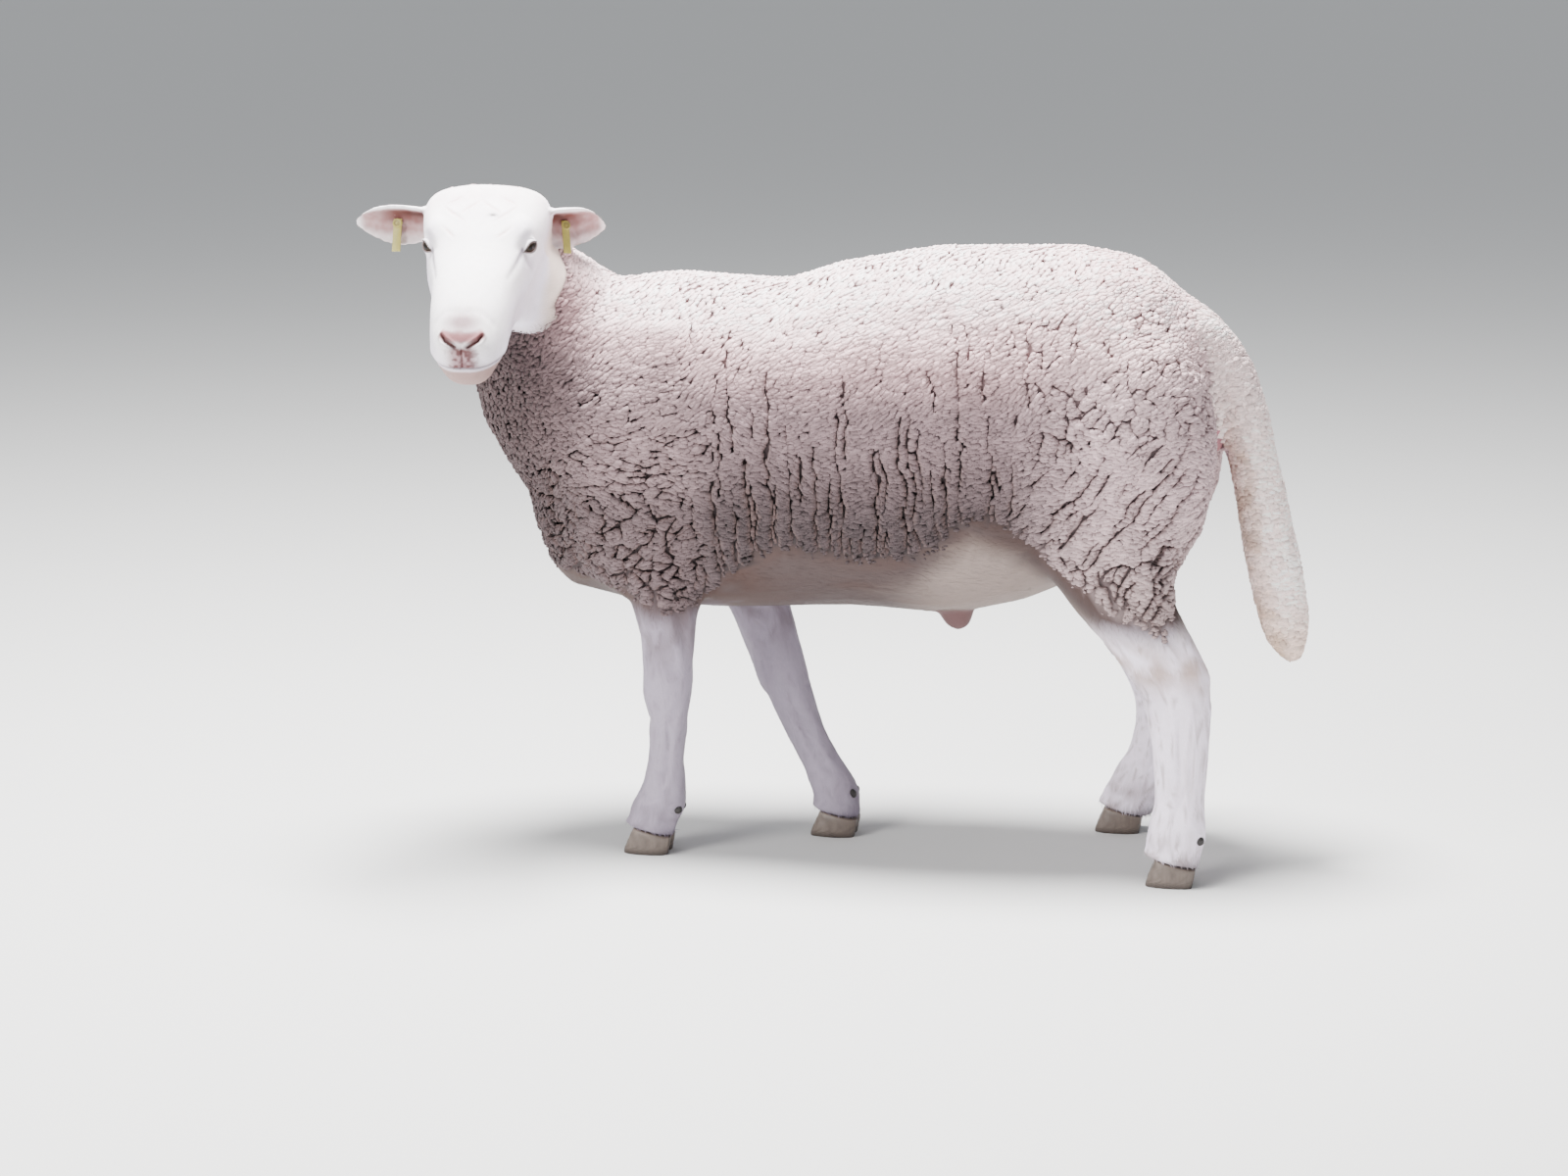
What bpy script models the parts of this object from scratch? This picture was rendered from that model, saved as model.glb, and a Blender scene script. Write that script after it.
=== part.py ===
"""A polled ram standing on all four feet, its head turned to the left, as a life-size still model.

Metres, +Z up. The ram's body lies along X with the head towards -X, so its left side faces -Y.
The flesh is one closed form in its fleece, blended from lofts and ellipsoids, then parted by thin cuts
into the head, jaw, neck, trunk, tail and legs. The eyes, ears, claws, dewclaws, sheath, scrotum and
ear tags are pieces of their own. At the end all is moved so that the origin is the bottom centre of
the whole model.
"""

import math

import bmesh
import bpy
from mathutils import Matrix, Vector

# Driving dimensions of the animal in its fleece.
WITHERS_Z = 0.733
RUMP_Z = 0.780
BARREL_HALF_WIDTH = 0.180
GAP = 0.0004  # between pieces that meet

# The head's own frame has its origin at the poll, and looks along its first axis.
POLL = Vector((-0.354, -0.120, 0.846))
HEAD_TURN = math.radians(95)  # from straight ahead towards the ram's left
FACE_PITCH = math.radians(40)  # of the face below the horizontal
HEAD_LENGTH = 0.262
EYE = Vector((0.074, 0.0560, -0.029))  # the left eye's centre in the head's frame
EYE_RADIUS = 0.0135

EAR_LENGTH = 0.119
EAR_HALF_WIDTH = 0.034  # measured round the cup
EAR_THICKNESS = 0.0032
TAG_SIZE = (0.010, 0.042, 0.0018)  # width, length and thickness of a tag's flap
TAG_TILT = -43  # degrees that the flap leans out, to hang over the ear's lower rim

CLAW_LENGTH = 0.063
CLAW_WIDTH = 0.027
CLAW_SIDES = 14
CORONET_Z = 0.030  # height of the claws' top at the middle of the foot
CORONET_SLOPE = 0.22  # it falls from the toe to the heel

VOXEL = 0.0045
FLESH_TRIANGLES = 4000
RING_SIDES = 28
RINGS_PER_SPAN = 5


# ---------------------------------------------------------------- scene and small helpers

def clear_scene():
    for obj in list(bpy.data.objects):
        bpy.data.objects.remove(obj, do_unlink=True)


def collection(name):
    made = bpy.data.collections.new(name)
    bpy.context.scene.collection.children.link(made)
    return made


def link(obj, home):
    home.objects.link(obj)
    return obj


def material(name, colour, roughness, metallic=0.0):
    made = bpy.data.materials.new(name)
    made.use_nodes = True
    shader = made.node_tree.nodes["Principled BSDF"]
    shader.inputs["Base Color"].default_value = (*colour, 1.0)
    shader.inputs["Roughness"].default_value = roughness
    shader.inputs["Metallic"].default_value = metallic
    made.diffuse_color = (*colour, 1.0)
    return made


def mesh_object(name, form, home):
    """A new object from a bmesh, which is freed."""
    mesh = bpy.data.meshes.new(name)
    form.to_mesh(mesh)
    form.free()
    return link(bpy.data.objects.new(name, mesh), home)


def bake_modifiers(obj):
    """Replaces the object's mesh by its evaluated one and drops its modifiers."""
    graph = bpy.context.evaluated_depsgraph_get()
    mesh = bpy.data.meshes.new_from_object(obj.evaluated_get(graph), depsgraph=graph)
    obj.modifiers.clear()
    obj.data = mesh
    return obj


def copy_of(obj, name, home):
    made = obj.copy()
    made.data = obj.data.copy()
    made.name = name
    return link(made, home)


def boolean(obj, cutter, operation):
    cut = obj.modifiers.new(operation.title(), "BOOLEAN")
    cut.operation = operation
    cut.object = cutter
    cut.solver = "EXACT"
    return bake_modifiers(obj)


def grown(obj, distance, home):
    """A cutter that is the object pushed outwards along its normals."""
    made = copy_of(obj, obj.name + "_grown", home)
    push = made.modifiers.new("Displace", "DISPLACE")
    push.strength = distance
    push.mid_level = 0.0
    return bake_modifiers(made)


# ---------------------------------------------------------------- lofts and blobs

def spline(rows, t):
    """Catmull-Rom through a list of equal tuples, at t from 0 to the last index."""
    last = len(rows) - 1
    i = min(int(t), last - 1)
    u = t - i
    found = []
    for a, b, c, d in zip(rows[max(i - 1, 0)], rows[i], rows[i + 1], rows[min(i + 2, last)]):
        found.append(0.5 * (2 * b + (c - a) * u + (2 * a - 5 * b + 4 * c - d) * u ** 2
                            + (3 * b - a - 3 * c + d) * u ** 3))
    return found


def walk(rows):
    count = (len(rows) - 1) * RINGS_PER_SPAN
    return [spline(rows, k / RINGS_PER_SPAN) for k in range(count + 1)]


def ring(centre, side, up, width, rise, drop, power):
    """A closed section: half width to each side, rise above the centre and drop below it."""
    points = []
    for k in range(RING_SIDES):
        angle = 2 * math.pi * k / RING_SIDES
        c, s = math.cos(angle), math.sin(angle)
        across = width * math.copysign(abs(c) ** (2 / power), c)
        height = (rise if s > 0 else drop) * math.copysign(abs(s) ** (2 / power), s)
        points.append(centre + side * across + up * height)
    return points


def loft(name, rings, home):
    """A closed skin over rings of equal point count, with a fan over each end."""
    form = bmesh.new()
    rows = [[form.verts.new(point) for point in row] for row in rings]
    sides = len(rows[0])
    for lower, upper in zip(rows, rows[1:]):
        for k in range(sides):
            n = (k + 1) % sides
            form.faces.new((lower[k], lower[n], upper[n], upper[k]))
    for row in (rows[0], rows[-1]):
        middle = form.verts.new(sum((v.co for v in row), Vector()) / sides)
        for k in range(sides):
            form.faces.new((row[k], row[(k + 1) % sides], middle))
    bmesh.ops.recalc_face_normals(form, faces=form.faces)
    return mesh_object(name, form, home)


def limb(name, stations, home, up_hint=Vector((1, 0, 0)), power=2.0):
    """A tube through (x, y, z, half width, rise, drop), with its sections square to the path."""
    rows = walk(stations)
    centres = [Vector(row[:3]) for row in rows]
    last = len(rows) - 1
    rings = []
    for k, row in enumerate(rows):
        ahead = centres[min(k + 1, last)] - centres[max(k - 1, 0)]
        side = up_hint.cross(ahead).normalized()
        up = ahead.cross(side).normalized()
        rings.append(ring(centres[k], side, up, *row[3:6], power))
    return loft(name, rings, home)


def ellipsoid(name, centre, radii, home, frame=None, segments=24):
    """An ellipsoid whose centre and axes are given in a frame."""
    form = bmesh.new()
    bmesh.ops.create_uvsphere(form, u_segments=segments, v_segments=segments * 2 // 3, radius=1.0)
    matrix = (frame or Matrix.Identity(4)) @ Matrix.Translation(centre) @ Matrix.Diagonal((*radii, 1.0))
    bmesh.ops.transform(form, matrix=matrix, verts=form.verts)
    return mesh_object(name, form, home)


def box(name, low, high, home, frame=None):
    """A box between two corners of a frame, marked as a cutter."""
    form = bmesh.new()
    bmesh.ops.create_cube(form, size=1.0)
    low, high = Vector(low), Vector(high)
    matrix = Matrix.Translation((low + high) / 2) @ Matrix.Diagonal((*(high - low), 1.0))
    bmesh.ops.transform(form, matrix=(frame or Matrix.Identity(4)) @ matrix, verts=form.verts)
    made = mesh_object(name, form, home)
    made.hide_render = True
    made.display_type = "WIRE"
    return made


def prism(name, outline, half_width, home, frame=None):
    """A cutter with the outline given in a frame's XZ plane, reaching to both sides along its Y."""
    form = bmesh.new()
    near, far = [[form.verts.new(Vector((x, y, z))) for x, z in outline] for y in (-half_width, half_width)]
    form.faces.new(near)
    form.faces.new(far[::-1])
    for k in range(len(outline)):
        n = (k + 1) % len(outline)
        form.faces.new((near[k], far[k], far[n], near[n]))
    bmesh.ops.recalc_face_normals(form, faces=form.faces)
    bmesh.ops.transform(form, matrix=frame or Matrix.Identity(4), verts=form.verts)
    made = mesh_object(name, form, home)
    made.hide_render = True
    made.display_type = "WIRE"
    return made


def placed(origin, axis, degrees):
    """A frame at the origin given, turned about one axis."""
    return Matrix.Translation(origin) @ Matrix.Rotation(math.radians(degrees), 4, axis)


# ---------------------------------------------------------------- body, neck and legs as loose forms

def trunk_form(home):
    # x, top, bottom and half width of the body in its fleece, from the brisket to the rump.
    wide = BARREL_HALF_WIDTH
    sections = (
        (-0.330, 0.560, 0.490, 0.036),
        (-0.302, 0.645, 0.415, 0.076),
        (-0.250, 0.722, 0.346, 0.116),
        (-0.170, WITHERS_Z + 0.004, 0.310, 0.145),
        (-0.070, WITHERS_Z, 0.306, 0.158),
        (0.030, WITHERS_Z - 0.002, 0.312, 0.172),
        (0.120, 0.757, 0.312, wide),
        (0.220, 0.774, 0.312, wide),
        (0.310, RUMP_Z + 0.004, 0.345, 0.172),
        (0.410, RUMP_Z + 0.001, 0.405, 0.150),
        (0.490, 0.743, 0.455, 0.115),
        (0.540, 0.676, 0.520, 0.065),
    )
    waist = 0.46  # level of the widest point, as a share of the depth
    stations = []
    for x, high, low, half in sections:
        level = low + waist * (high - low)
        stations.append((x, 0.0, level, half, high - level, level - low))
    limb("trunk_form", stations, home, up_hint=Vector((0, 0, 1)), power=2.25)
    ellipsoid("brisket_form", (-0.248, -0.004, 0.458), (0.080, 0.098, 0.138), home)
    for mirror in (-1, 1):
        ellipsoid("shoulder_form", (-0.165, 0.078 * mirror, 0.490), (0.115, 0.078, 0.170), home)
        ellipsoid("thigh_form", (0.436, 0.078 * mirror, 0.525), (0.118, 0.088, 0.175), home)


def neck_form(home):
    stations = (
        (-0.110, 0.000, 0.545, 0.130, 0.178, 0.190),
        (-0.195, 0.000, 0.560, 0.130, 0.168, 0.180),
        (-0.262, -0.004, 0.605, 0.115, 0.138, 0.148),
        (-0.302, -0.022, 0.664, 0.098, 0.113, 0.112),
        (-0.324, -0.052, 0.716, 0.077, 0.086, 0.086),
        (-0.338, -0.082, 0.758, 0.060, 0.056, 0.064),
    )
    limb("neck_form", stations, home, up_hint=Vector((0.75, 0.15, 0.65)))


# A leg's stations are (x, y, z, half thickness across, half depth along the body) from top to foot.

def leg_form(name, stations, home):
    limb(name, [(x, y, z, half, deep, deep) for x, y, z, half, deep in stations], home)


def foreleg_forms(home):
    leg_form("foreleg_left_form", (
        (-0.140, -0.098, 0.470, 0.048, 0.075),
        (-0.138, -0.104, 0.395, 0.044, 0.066),
        (-0.133, -0.102, 0.335, 0.037, 0.047),
        (-0.130, -0.099, 0.280, 0.031, 0.037),
        (-0.131, -0.096, 0.215, 0.029, 0.032),
        (-0.132, -0.093, 0.168, 0.024, 0.026),
        (-0.136, -0.090, 0.115, 0.024, 0.026),
        (-0.140, -0.088, 0.078, 0.027, 0.031),
        (-0.151, -0.087, 0.050, 0.028, 0.034),
        (-0.162, -0.086, 0.015, 0.028, 0.038),
    ), home)
    leg_form("foreleg_right_form", (
        (-0.125, 0.098, 0.460, 0.048, 0.075),
        (-0.088, 0.096, 0.380, 0.044, 0.062),
        (-0.056, 0.083, 0.315, 0.036, 0.046),
        (-0.030, 0.070, 0.255, 0.031, 0.038),
        (-0.006, 0.060, 0.190, 0.029, 0.032),
        (0.016, 0.052, 0.140, 0.025, 0.027),
        (0.040, 0.046, 0.095, 0.025, 0.026),
        (0.056, 0.042, 0.066, 0.027, 0.030),
        (0.061, 0.040, 0.045, 0.028, 0.033),
        (0.060, 0.040, 0.015, 0.028, 0.036),
    ), home)


def hindleg_form(name, mirror, foot_y, shifts, home):
    """A hind leg. The shifts say how far each station stands ahead of the left leg's."""
    stations = (
        (0.430, 0.082, 0.520, 0.066, 0.098),
        (0.424, 0.098, 0.440, 0.062, 0.096),
        (0.436, 0.108, 0.380, 0.050, 0.077),
        (0.462, 0.116, 0.325, 0.039, 0.054),
        (0.496, 0.122, 0.272, 0.033, 0.048),
        (0.511, foot_y - 0.004, 0.225, 0.030, 0.043),
        (0.515, foot_y, 0.170, 0.026, 0.037),
        (0.516, foot_y, 0.115, 0.026, 0.033),
        (0.514, foot_y, 0.075, 0.028, 0.036),
        (0.509, foot_y, 0.048, 0.029, 0.037),
        (0.505, foot_y, 0.015, 0.029, 0.039),
    )
    leg_form(name, [(x - ahead, y * mirror, z, half, deep)
                    for (x, y, z, half, deep), ahead in zip(stations, shifts)], home)


def hindleg_forms(home):
    square = (0.0,) * 11
    forward = (0.02, 0.04, 0.055, 0.062, 0.058, 0.046, 0.038, 0.048, 0.062, 0.072, 0.080)
    hindleg_form("hindleg_left_form", -1, 0.128, square, home)
    hindleg_form("hindleg_right_form", 1, 0.122, forward, home)


def tail_form(home):
    limb("tail_form", (
        (0.455, 0.0, 0.690, 0.050, 0.040, 0.050),
        (0.508, 0.0, 0.678, 0.050, 0.034, 0.045),
        (0.548, 0.0, 0.636, 0.046, 0.034, 0.040),
        (0.574, 0.0, 0.580, 0.041, 0.033, 0.036),
        (0.590, 0.0, 0.520, 0.038, 0.033, 0.034),
        (0.604, 0.0, 0.450, 0.038, 0.035, 0.036),
        (0.619, 0.0, 0.380, 0.037, 0.037, 0.038),
        (0.633, 0.0, 0.315, 0.034, 0.035, 0.035),
        (0.642, 0.0, 0.275, 0.026, 0.027, 0.027),
        (0.647, 0.0, 0.250, 0.009, 0.009, 0.009),
    ), home)


# ---------------------------------------------------------------- the head, in its own frame

def head_frame():
    """Columns: forward along the face, the ram's left, and up from the face. Origin at the poll."""
    heading = Vector((-math.cos(HEAD_TURN), -math.sin(HEAD_TURN), 0.0))
    left = Vector((0, 0, 1)).cross(heading)
    forward = heading * math.cos(FACE_PITCH) - Vector((0, 0, math.sin(FACE_PITCH)))
    up = forward.cross(left)
    frame = Matrix((forward, left, up)).transposed().to_4x4()
    frame.translation = POLL
    return frame


HEAD = head_frame()


def head_form(home):
    # Distance from the poll, top and bottom from the line of the face, half width, and the level
    # of the widest point as a share of the depth.
    sections = (
        (-0.052, -0.058, -0.090, 0.030, 0.50),
        (-0.036, -0.033, -0.112, 0.065, 0.56),
        (-0.010, -0.010, -0.126, 0.078, 0.66),
        (0.030, 0.001, -0.138, 0.078, 0.70),
        (0.070, 0.002, -0.146, 0.070, 0.68),
        (0.110, -0.001, -0.134, 0.062, 0.64),
        (0.150, 0.002, -0.114, 0.054, 0.58),
        (0.190, 0.002, -0.104, 0.049, 0.52),
        (0.225, -0.005, -0.102, 0.043, 0.50),
        (0.248, -0.017, -0.094, 0.035, 0.52),
        (HEAD_LENGTH, -0.040, -0.070, 0.017, 0.52),
    )
    rings = []
    for along, high, low, half, waist in walk(sections):
        level = low + waist * (high - low)
        points = ring(Vector((along, 0, level)), Vector((0, 1, 0)), Vector((0, 0, 1)),
                      half, high - level, level - low, 2.5)
        rings.append([HEAD @ point for point in points])
    loft("head_form", rings, home)
    for side in (-1, 1):
        ellipsoid("brow_form", (0.062, 0.052 * side, -0.019), (0.030, 0.017, 0.018), home, HEAD)
        ellipsoid("cheek_form", (0.072, 0.046 * side, -0.098), (0.052, 0.018, 0.046), home, HEAD)
        ellipsoid("lip_form", (0.210, 0.028 * side, -0.062), (0.038, 0.020, 0.026), home, HEAD)
        ellipsoid("nostril_form", (0.236, 0.020 * side, -0.026), (0.021, 0.012, 0.014), home, HEAD)
        ellipsoid("ear_root_form", (0.008, 0.060 * side, -0.050), (0.022, 0.016, 0.022), home, HEAD)
    ellipsoid("chin_form", (0.216, 0.0, -0.090), (0.032, 0.022, 0.018), home, HEAD)


# ---------------------------------------------------------------- the flesh as one closed form

def head_share(point):
    """1 on the head and 0 on the rest, with a soft change behind the ears and jaw."""
    local = HEAD.inverted() @ point
    behind_ears = local.x + 0.052 + 0.475 * local.z
    below_jaw = local.z + 0.163 - 0.125 * local.x
    inside = min(behind_ears, below_jaw, 0.11 - abs(local.y))
    return min(max((inside + 0.010) / 0.030, 0.0), 1.0)


def foot_share(point):
    return min(max((0.30 - point.z) / 0.06, 0.0), 1.0) if point.x < 0.56 else 0.3


def weigh(obj, name, rule):
    group = obj.vertex_groups.new(name=name)
    for vertex in obj.data.vertices:
        group.add([vertex.index], rule(vertex.co), "REPLACE")
    return group.name


def smooth(obj, iterations, group=""):
    soften = obj.modifiers.new("Smooth", "SMOOTH")
    soften.factor = 0.5
    soften.iterations = iterations
    soften.vertex_group = group


def blended_flesh(forms, home):
    """The loose forms as one skin, smooth where they met, with finer facets on the head."""
    whole = bmesh.new()
    for obj in forms.objects:
        whole.from_mesh(obj.data)
    flesh = mesh_object("flesh", whole, home)
    melt = flesh.modifiers.new("Remesh", "REMESH")
    melt.mode = "VOXEL"
    melt.voxel_size = VOXEL
    bake_modifiers(flesh)
    body = weigh(flesh, "body", lambda p: max(0.0, 1.0 - head_share(p) - 0.85 * foot_share(p)))
    smooth(flesh, 8)
    smooth(flesh, 70, body)
    bake_modifiers(flesh)
    flesh.vertex_groups.clear()
    coarse = weigh(flesh, "coarse", lambda p: 1.0 - 0.50 * head_share(p) - 0.20 * foot_share(p))
    thin = flesh.modifiers.new("Decimate", "DECIMATE")
    thin.ratio = FLESH_TRIANGLES / (2 * len(flesh.data.polygons))
    thin.vertex_group = coarse
    thin.vertex_group_factor = 1.0
    bake_modifiers(flesh)
    flesh.vertex_groups.clear()
    return flesh


# ---------------------------------------------------------------- parting the flesh

def part_off(flesh, name, region, home, cutters):
    """Takes what lies inside a region out of the flesh as a node, leaving a thin gap round it."""
    piece = copy_of(flesh, name, home)
    boolean(piece, region, "INTERSECT")
    boolean(flesh, grown(region, GAP * math.sqrt(3), cutters), "DIFFERENCE")
    return piece


def parted(flesh, home, cutters):
    """Parts the flesh into its nodes. What is left of it is the trunk."""
    # Each leg comes off with its elbow or its thigh.
    slant = placed(Vector((-0.020, 0, 0.230)), "Y", -22)
    regions = [
        box("foreleg_left_region", (-0.215, -0.30, -0.10), (-0.062, -0.040, 0.350), cutters),
        box("foreleg_right_region", (-0.105, 0.010, -0.40), (0.105, 0.30, 0.105), cutters, slant),
        box("hindleg_left_region", (0.315, -0.30, -0.10), (0.575, -0.038, 0.480), cutters),
        box("hindleg_right_region", (0.255, 0.038, -0.10), (0.575, 0.30, 0.480), cutters),
        # The head parts from the neck behind the ears and the jaw.
        prism("head_region", ((-0.090, 0.080), (0.024, -0.160), (0.140, -0.152), (0.300, -0.125),
                              (0.300, 0.080)), 0.090, cutters, HEAD),
        # The neck parts from the trunk in front of the withers and behind the brisket.
        prism("neck_region", ((-0.190, 0.900), (-0.305, 0.250), (-0.600, 0.250), (-0.600, 0.900)),
              0.40, cutters),
        # The tail parts from the rump at its root.
        prism("tail_region", ((0.510, 0.760), (0.537, 0.600), (0.560, 0.470), (0.580, 0.200),
                              (0.720, 0.200), (0.720, 0.760)), 0.056, cutters),
    ]
    parts = {}
    for region in regions:
        name = region.name.replace("_region", "")
        parts[name] = part_off(flesh, name, region, home, cutters)
    # The jaw parts from the head along the line of the mouth.
    jaw = prism("lower_jaw_region", ((-0.10, -0.130), (0.060, -0.108), (0.300, -0.066), (0.300, -0.200),
                                     (-0.10, -0.200)), 0.120, cutters, HEAD)
    parts["lower_jaw"] = part_off(parts["head"], "lower_jaw", jaw, home, cutters)
    flesh.name = "trunk"
    parts["trunk"] = flesh
    return parts


# ---------------------------------------------------------------- feet

def foot_plane(foot):
    """A frame on the sloping plane where the leg meets its claws. Its z axis is the plane's normal."""
    return placed(Vector((foot.x, foot.y, CORONET_Z)), "Y", math.degrees(math.atan(CORONET_SLOPE)))


def claw(name, foot, side, home):
    """One of a foot's two claws: a wedge with a flat sole, a round toe and a sloping top."""
    rings = []
    for share in (0.0, 0.15, 1.0):
        # From the sole to the coronet the claw draws back from the toe and in from the side.
        length = CLAW_LENGTH * (0.97 - 0.17 * share if share else 0.93)
        width = CLAW_WIDTH * (1.0 - 0.10 * share if share else 0.92)
        points = []
        for k in range(CLAW_SIDES):
            angle = 2 * math.pi * k / CLAW_SIDES
            c, s = math.cos(angle), math.sin(angle)
            along = 0.5 * length * math.copysign(abs(c) ** 0.8, c)
            # The inner wall is flat and the outer wall round, and the toe is narrower than the heel.
            taper = 1.0 - 0.28 * max(0.0, -c) ** 1.5
            bulge = taper * s ** 0.75 if s > 0 else -abs(s) ** 0.4
            across = 0.5 * width * (1.0 + bulge)
            x = foot.x + along + 0.5 * (CLAW_LENGTH - length) + 0.004 * share
            top = CORONET_Z - GAP - CORONET_SLOPE * (x - foot.x)
            points.append(Vector((x, foot.y + side * (0.0012 + across), share * top)))
        rings.append(points)
    return loft(name, rings, home)


def dewclaw(name, centre, home):
    """A small blunt horn behind the fetlock, pointing back and down."""
    return ellipsoid(name, (0, 0, 0), (0.0095, 0.0065, 0.0070), home, placed(centre, "Y", 28), segments=8)


def feet(parts, home, cutters):
    """Trims each leg to its coronet and stands it on two claws, with two dewclaws behind."""
    stands = {
        "foreleg_left": (Vector((-0.163, -0.086, 0)), Vector((-0.121, -0.087, 0.060))),
        "foreleg_right": (Vector((0.057, 0.040, 0)), Vector((0.083, 0.041, 0.057))),
        "hindleg_left": (Vector((0.503, -0.128, 0)), Vector((0.540, -0.128, 0.060))),
        "hindleg_right": (Vector((0.419, 0.122, 0)), Vector((0.473, 0.122, 0.058))),
    }
    for leg, (foot, heel) in stands.items():
        plane = foot_plane(foot)
        boolean(parts[leg], box(leg + "_trim", (-0.12, -0.12, -0.12), (0.12, 0.12, 0.0), cutters, plane),
                "DIFFERENCE")
        for side, word in ((-1, "left"), (1, "right")):
            name = leg.replace("leg", "") + "_claw_" + word
            parts[name] = claw(name, foot, side, home)
            name = leg.replace("leg", "") + "_dewclaw_" + word
            parts[name] = dewclaw(name, heel + Vector((0, 0.0125 * side, 0)), home)
            boolean(parts[leg], grown(parts[name], GAP, cutters), "DIFFERENCE")


# ---------------------------------------------------------------- eyes, ears and tags

def eyes(parts, home, cutters):
    for side, word in ((1, "left"), (-1, "right")):
        centre = Vector((EYE.x, EYE.y * side, EYE.z))
        name = "eye_" + word
        parts[name] = ellipsoid(name, centre, (EYE_RADIUS,) * 3, home, HEAD, segments=12)
        boolean(parts["head"], grown(parts[name], GAP, cutters), "DIFFERENCE")


def ear_frame(side, sweep, droop, stretch):
    """Columns: along the ear, up across it, and the way its hollow faces. Origin at its root."""
    heading = Vector((-math.cos(HEAD_TURN), -math.sin(HEAD_TURN), 0.0))
    left = Vector((0, 0, 1)).cross(heading)
    turn = math.radians(sweep)
    along = left * side * math.cos(turn) - heading * math.sin(turn)
    along = (along - Vector((0, 0, math.tan(math.radians(droop))))).normalized()
    ahead = heading * math.cos(turn) + left * side * math.sin(turn)
    face = ahead * 0.93 - Vector((0, 0, 0.36))
    face = (face - along * face.dot(along)).normalized()
    up = face.cross(along) if side > 0 else along.cross(face)
    frame = Matrix((along * stretch, up, face)).transposed().to_4x4()
    frame.translation = HEAD @ Vector((0.008, 0.050 * side, -0.050))
    return frame


def ear_point(share, across):
    """A point of the ear's mid surface in its own frame: share runs root to tip, across -1 to 1."""
    half = EAR_HALF_WIDTH * max(math.sin(math.pi * (0.13 + 0.87 * share) ** 1.02), 0.0) ** 0.72
    half = max(half, 0.0035)
    curl = math.radians(88 - 54 * share)  # from the middle of the cup to its rim
    radius = half / curl
    angle = curl * across
    rise = radius * math.sin(angle)
    cup = radius * (1 - math.cos(angle))
    return Vector((EAR_LENGTH * share, rise - 0.006 * share ** 2, cup - 0.008 * share ** 2))


def ear(name, frame, home):
    """A cupped leaf with an even thickness."""
    steps, spans = 8, 6
    form = bmesh.new()
    rows = [[form.verts.new(frame @ ear_point(i / steps, 2 * j / spans - 1)) for j in range(spans + 1)]
            for i in range(steps + 1)]
    for lower, upper in zip(rows, rows[1:]):
        for j in range(spans):
            form.faces.new((lower[j], lower[j + 1], upper[j + 1], upper[j]))
    bmesh.ops.recalc_face_normals(form, faces=form.faces)
    made = mesh_object(name, form, home)
    thick = made.modifiers.new("Solidify", "SOLIDIFY")
    thick.thickness = EAR_THICKNESS
    thick.offset = 0.0
    thick.use_even_offset = True
    return bake_modifiers(made)


def disc(name, frame, radius, low, high, home):
    form = bmesh.new()
    depth = high - low
    bmesh.ops.create_cone(form, cap_ends=True, segments=12, radius1=radius, radius2=radius, depth=depth)
    middle = Matrix.Translation(Vector((0, 0, (low + high) / 2)))
    bmesh.ops.transform(form, matrix=frame @ middle, verts=form.verts)
    return mesh_object(name, form, home)


def tag(name, frame, place, home, cutters):
    """A plastic ear tag: a flap hanging in front of the ear, two buttons, and a pin through the ear."""
    seat = frame @ Matrix.Translation(ear_point(place, -0.05))
    hang = seat @ Matrix.Translation((0, 0, 0.0062)) @ Matrix.Rotation(math.radians(TAG_TILT), 4, "X")
    width, length, thick = TAG_SIZE
    flap = box(name, (-width / 2, 0.006 - length, -thick / 2), (width / 2, 0.006, thick / 2), home, hang)
    flap.hide_render = False
    flap.display_type = "TEXTURED"
    face = thick / 2
    boolean(flap, disc(name + "_front", hang, 0.0062, face - 0.0004, face + 0.0014, cutters), "UNION")
    boolean(flap, disc(name + "_pin", seat, 0.0023, -0.0060, 0.0062, cutters), "UNION")
    boolean(flap, disc(name + "_back", seat, 0.0060, -0.0066, -0.0048, cutters), "UNION")
    return flap


def ears(parts, home, cutters):
    head = grown(parts["head"], GAP, cutters)
    # Each ear's sweep back and droop in degrees, its stretch, and its tag's place along it.
    for side, word, sweep, droop, stretch, place in (
            (1, "left", 33, 6, 0.95, 0.44), (-1, "right", 6, 2, 1.05, 0.52)):
        frame = ear_frame(side, sweep, droop, stretch)
        name = "ear_" + word
        parts[name] = ear(name, frame, home)
        boolean(parts[name], head, "DIFFERENCE")
        name = "ear_tag_" + word
        parts[name] = tag(name, frame, place, home, cutters)
        boolean(parts["ear_" + word], grown(parts[name], GAP, cutters), "DIFFERENCE")


# ---------------------------------------------------------------- below the belly

def underside(parts, home, cutters):
    trunk = grown(parts["trunk"], GAP, cutters)
    parts["sheath"] = ellipsoid("sheath", (0, 0, 0), (0.021, 0.016, 0.023), home,
                                placed(Vector((0.222, 0.0, 0.306)), "Y", -25), segments=12)
    parts["scrotum"] = ellipsoid("scrotum", (0, 0, 0), (0.038, 0.034, 0.062), home,
                                 placed(Vector((0.448, 0.0, 0.400)), "Y", 8), segments=12)
    for name in ("sheath", "scrotum"):
        boolean(parts[name], trunk, "DIFFERENCE")


# ---------------------------------------------------------------- finish

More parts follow.
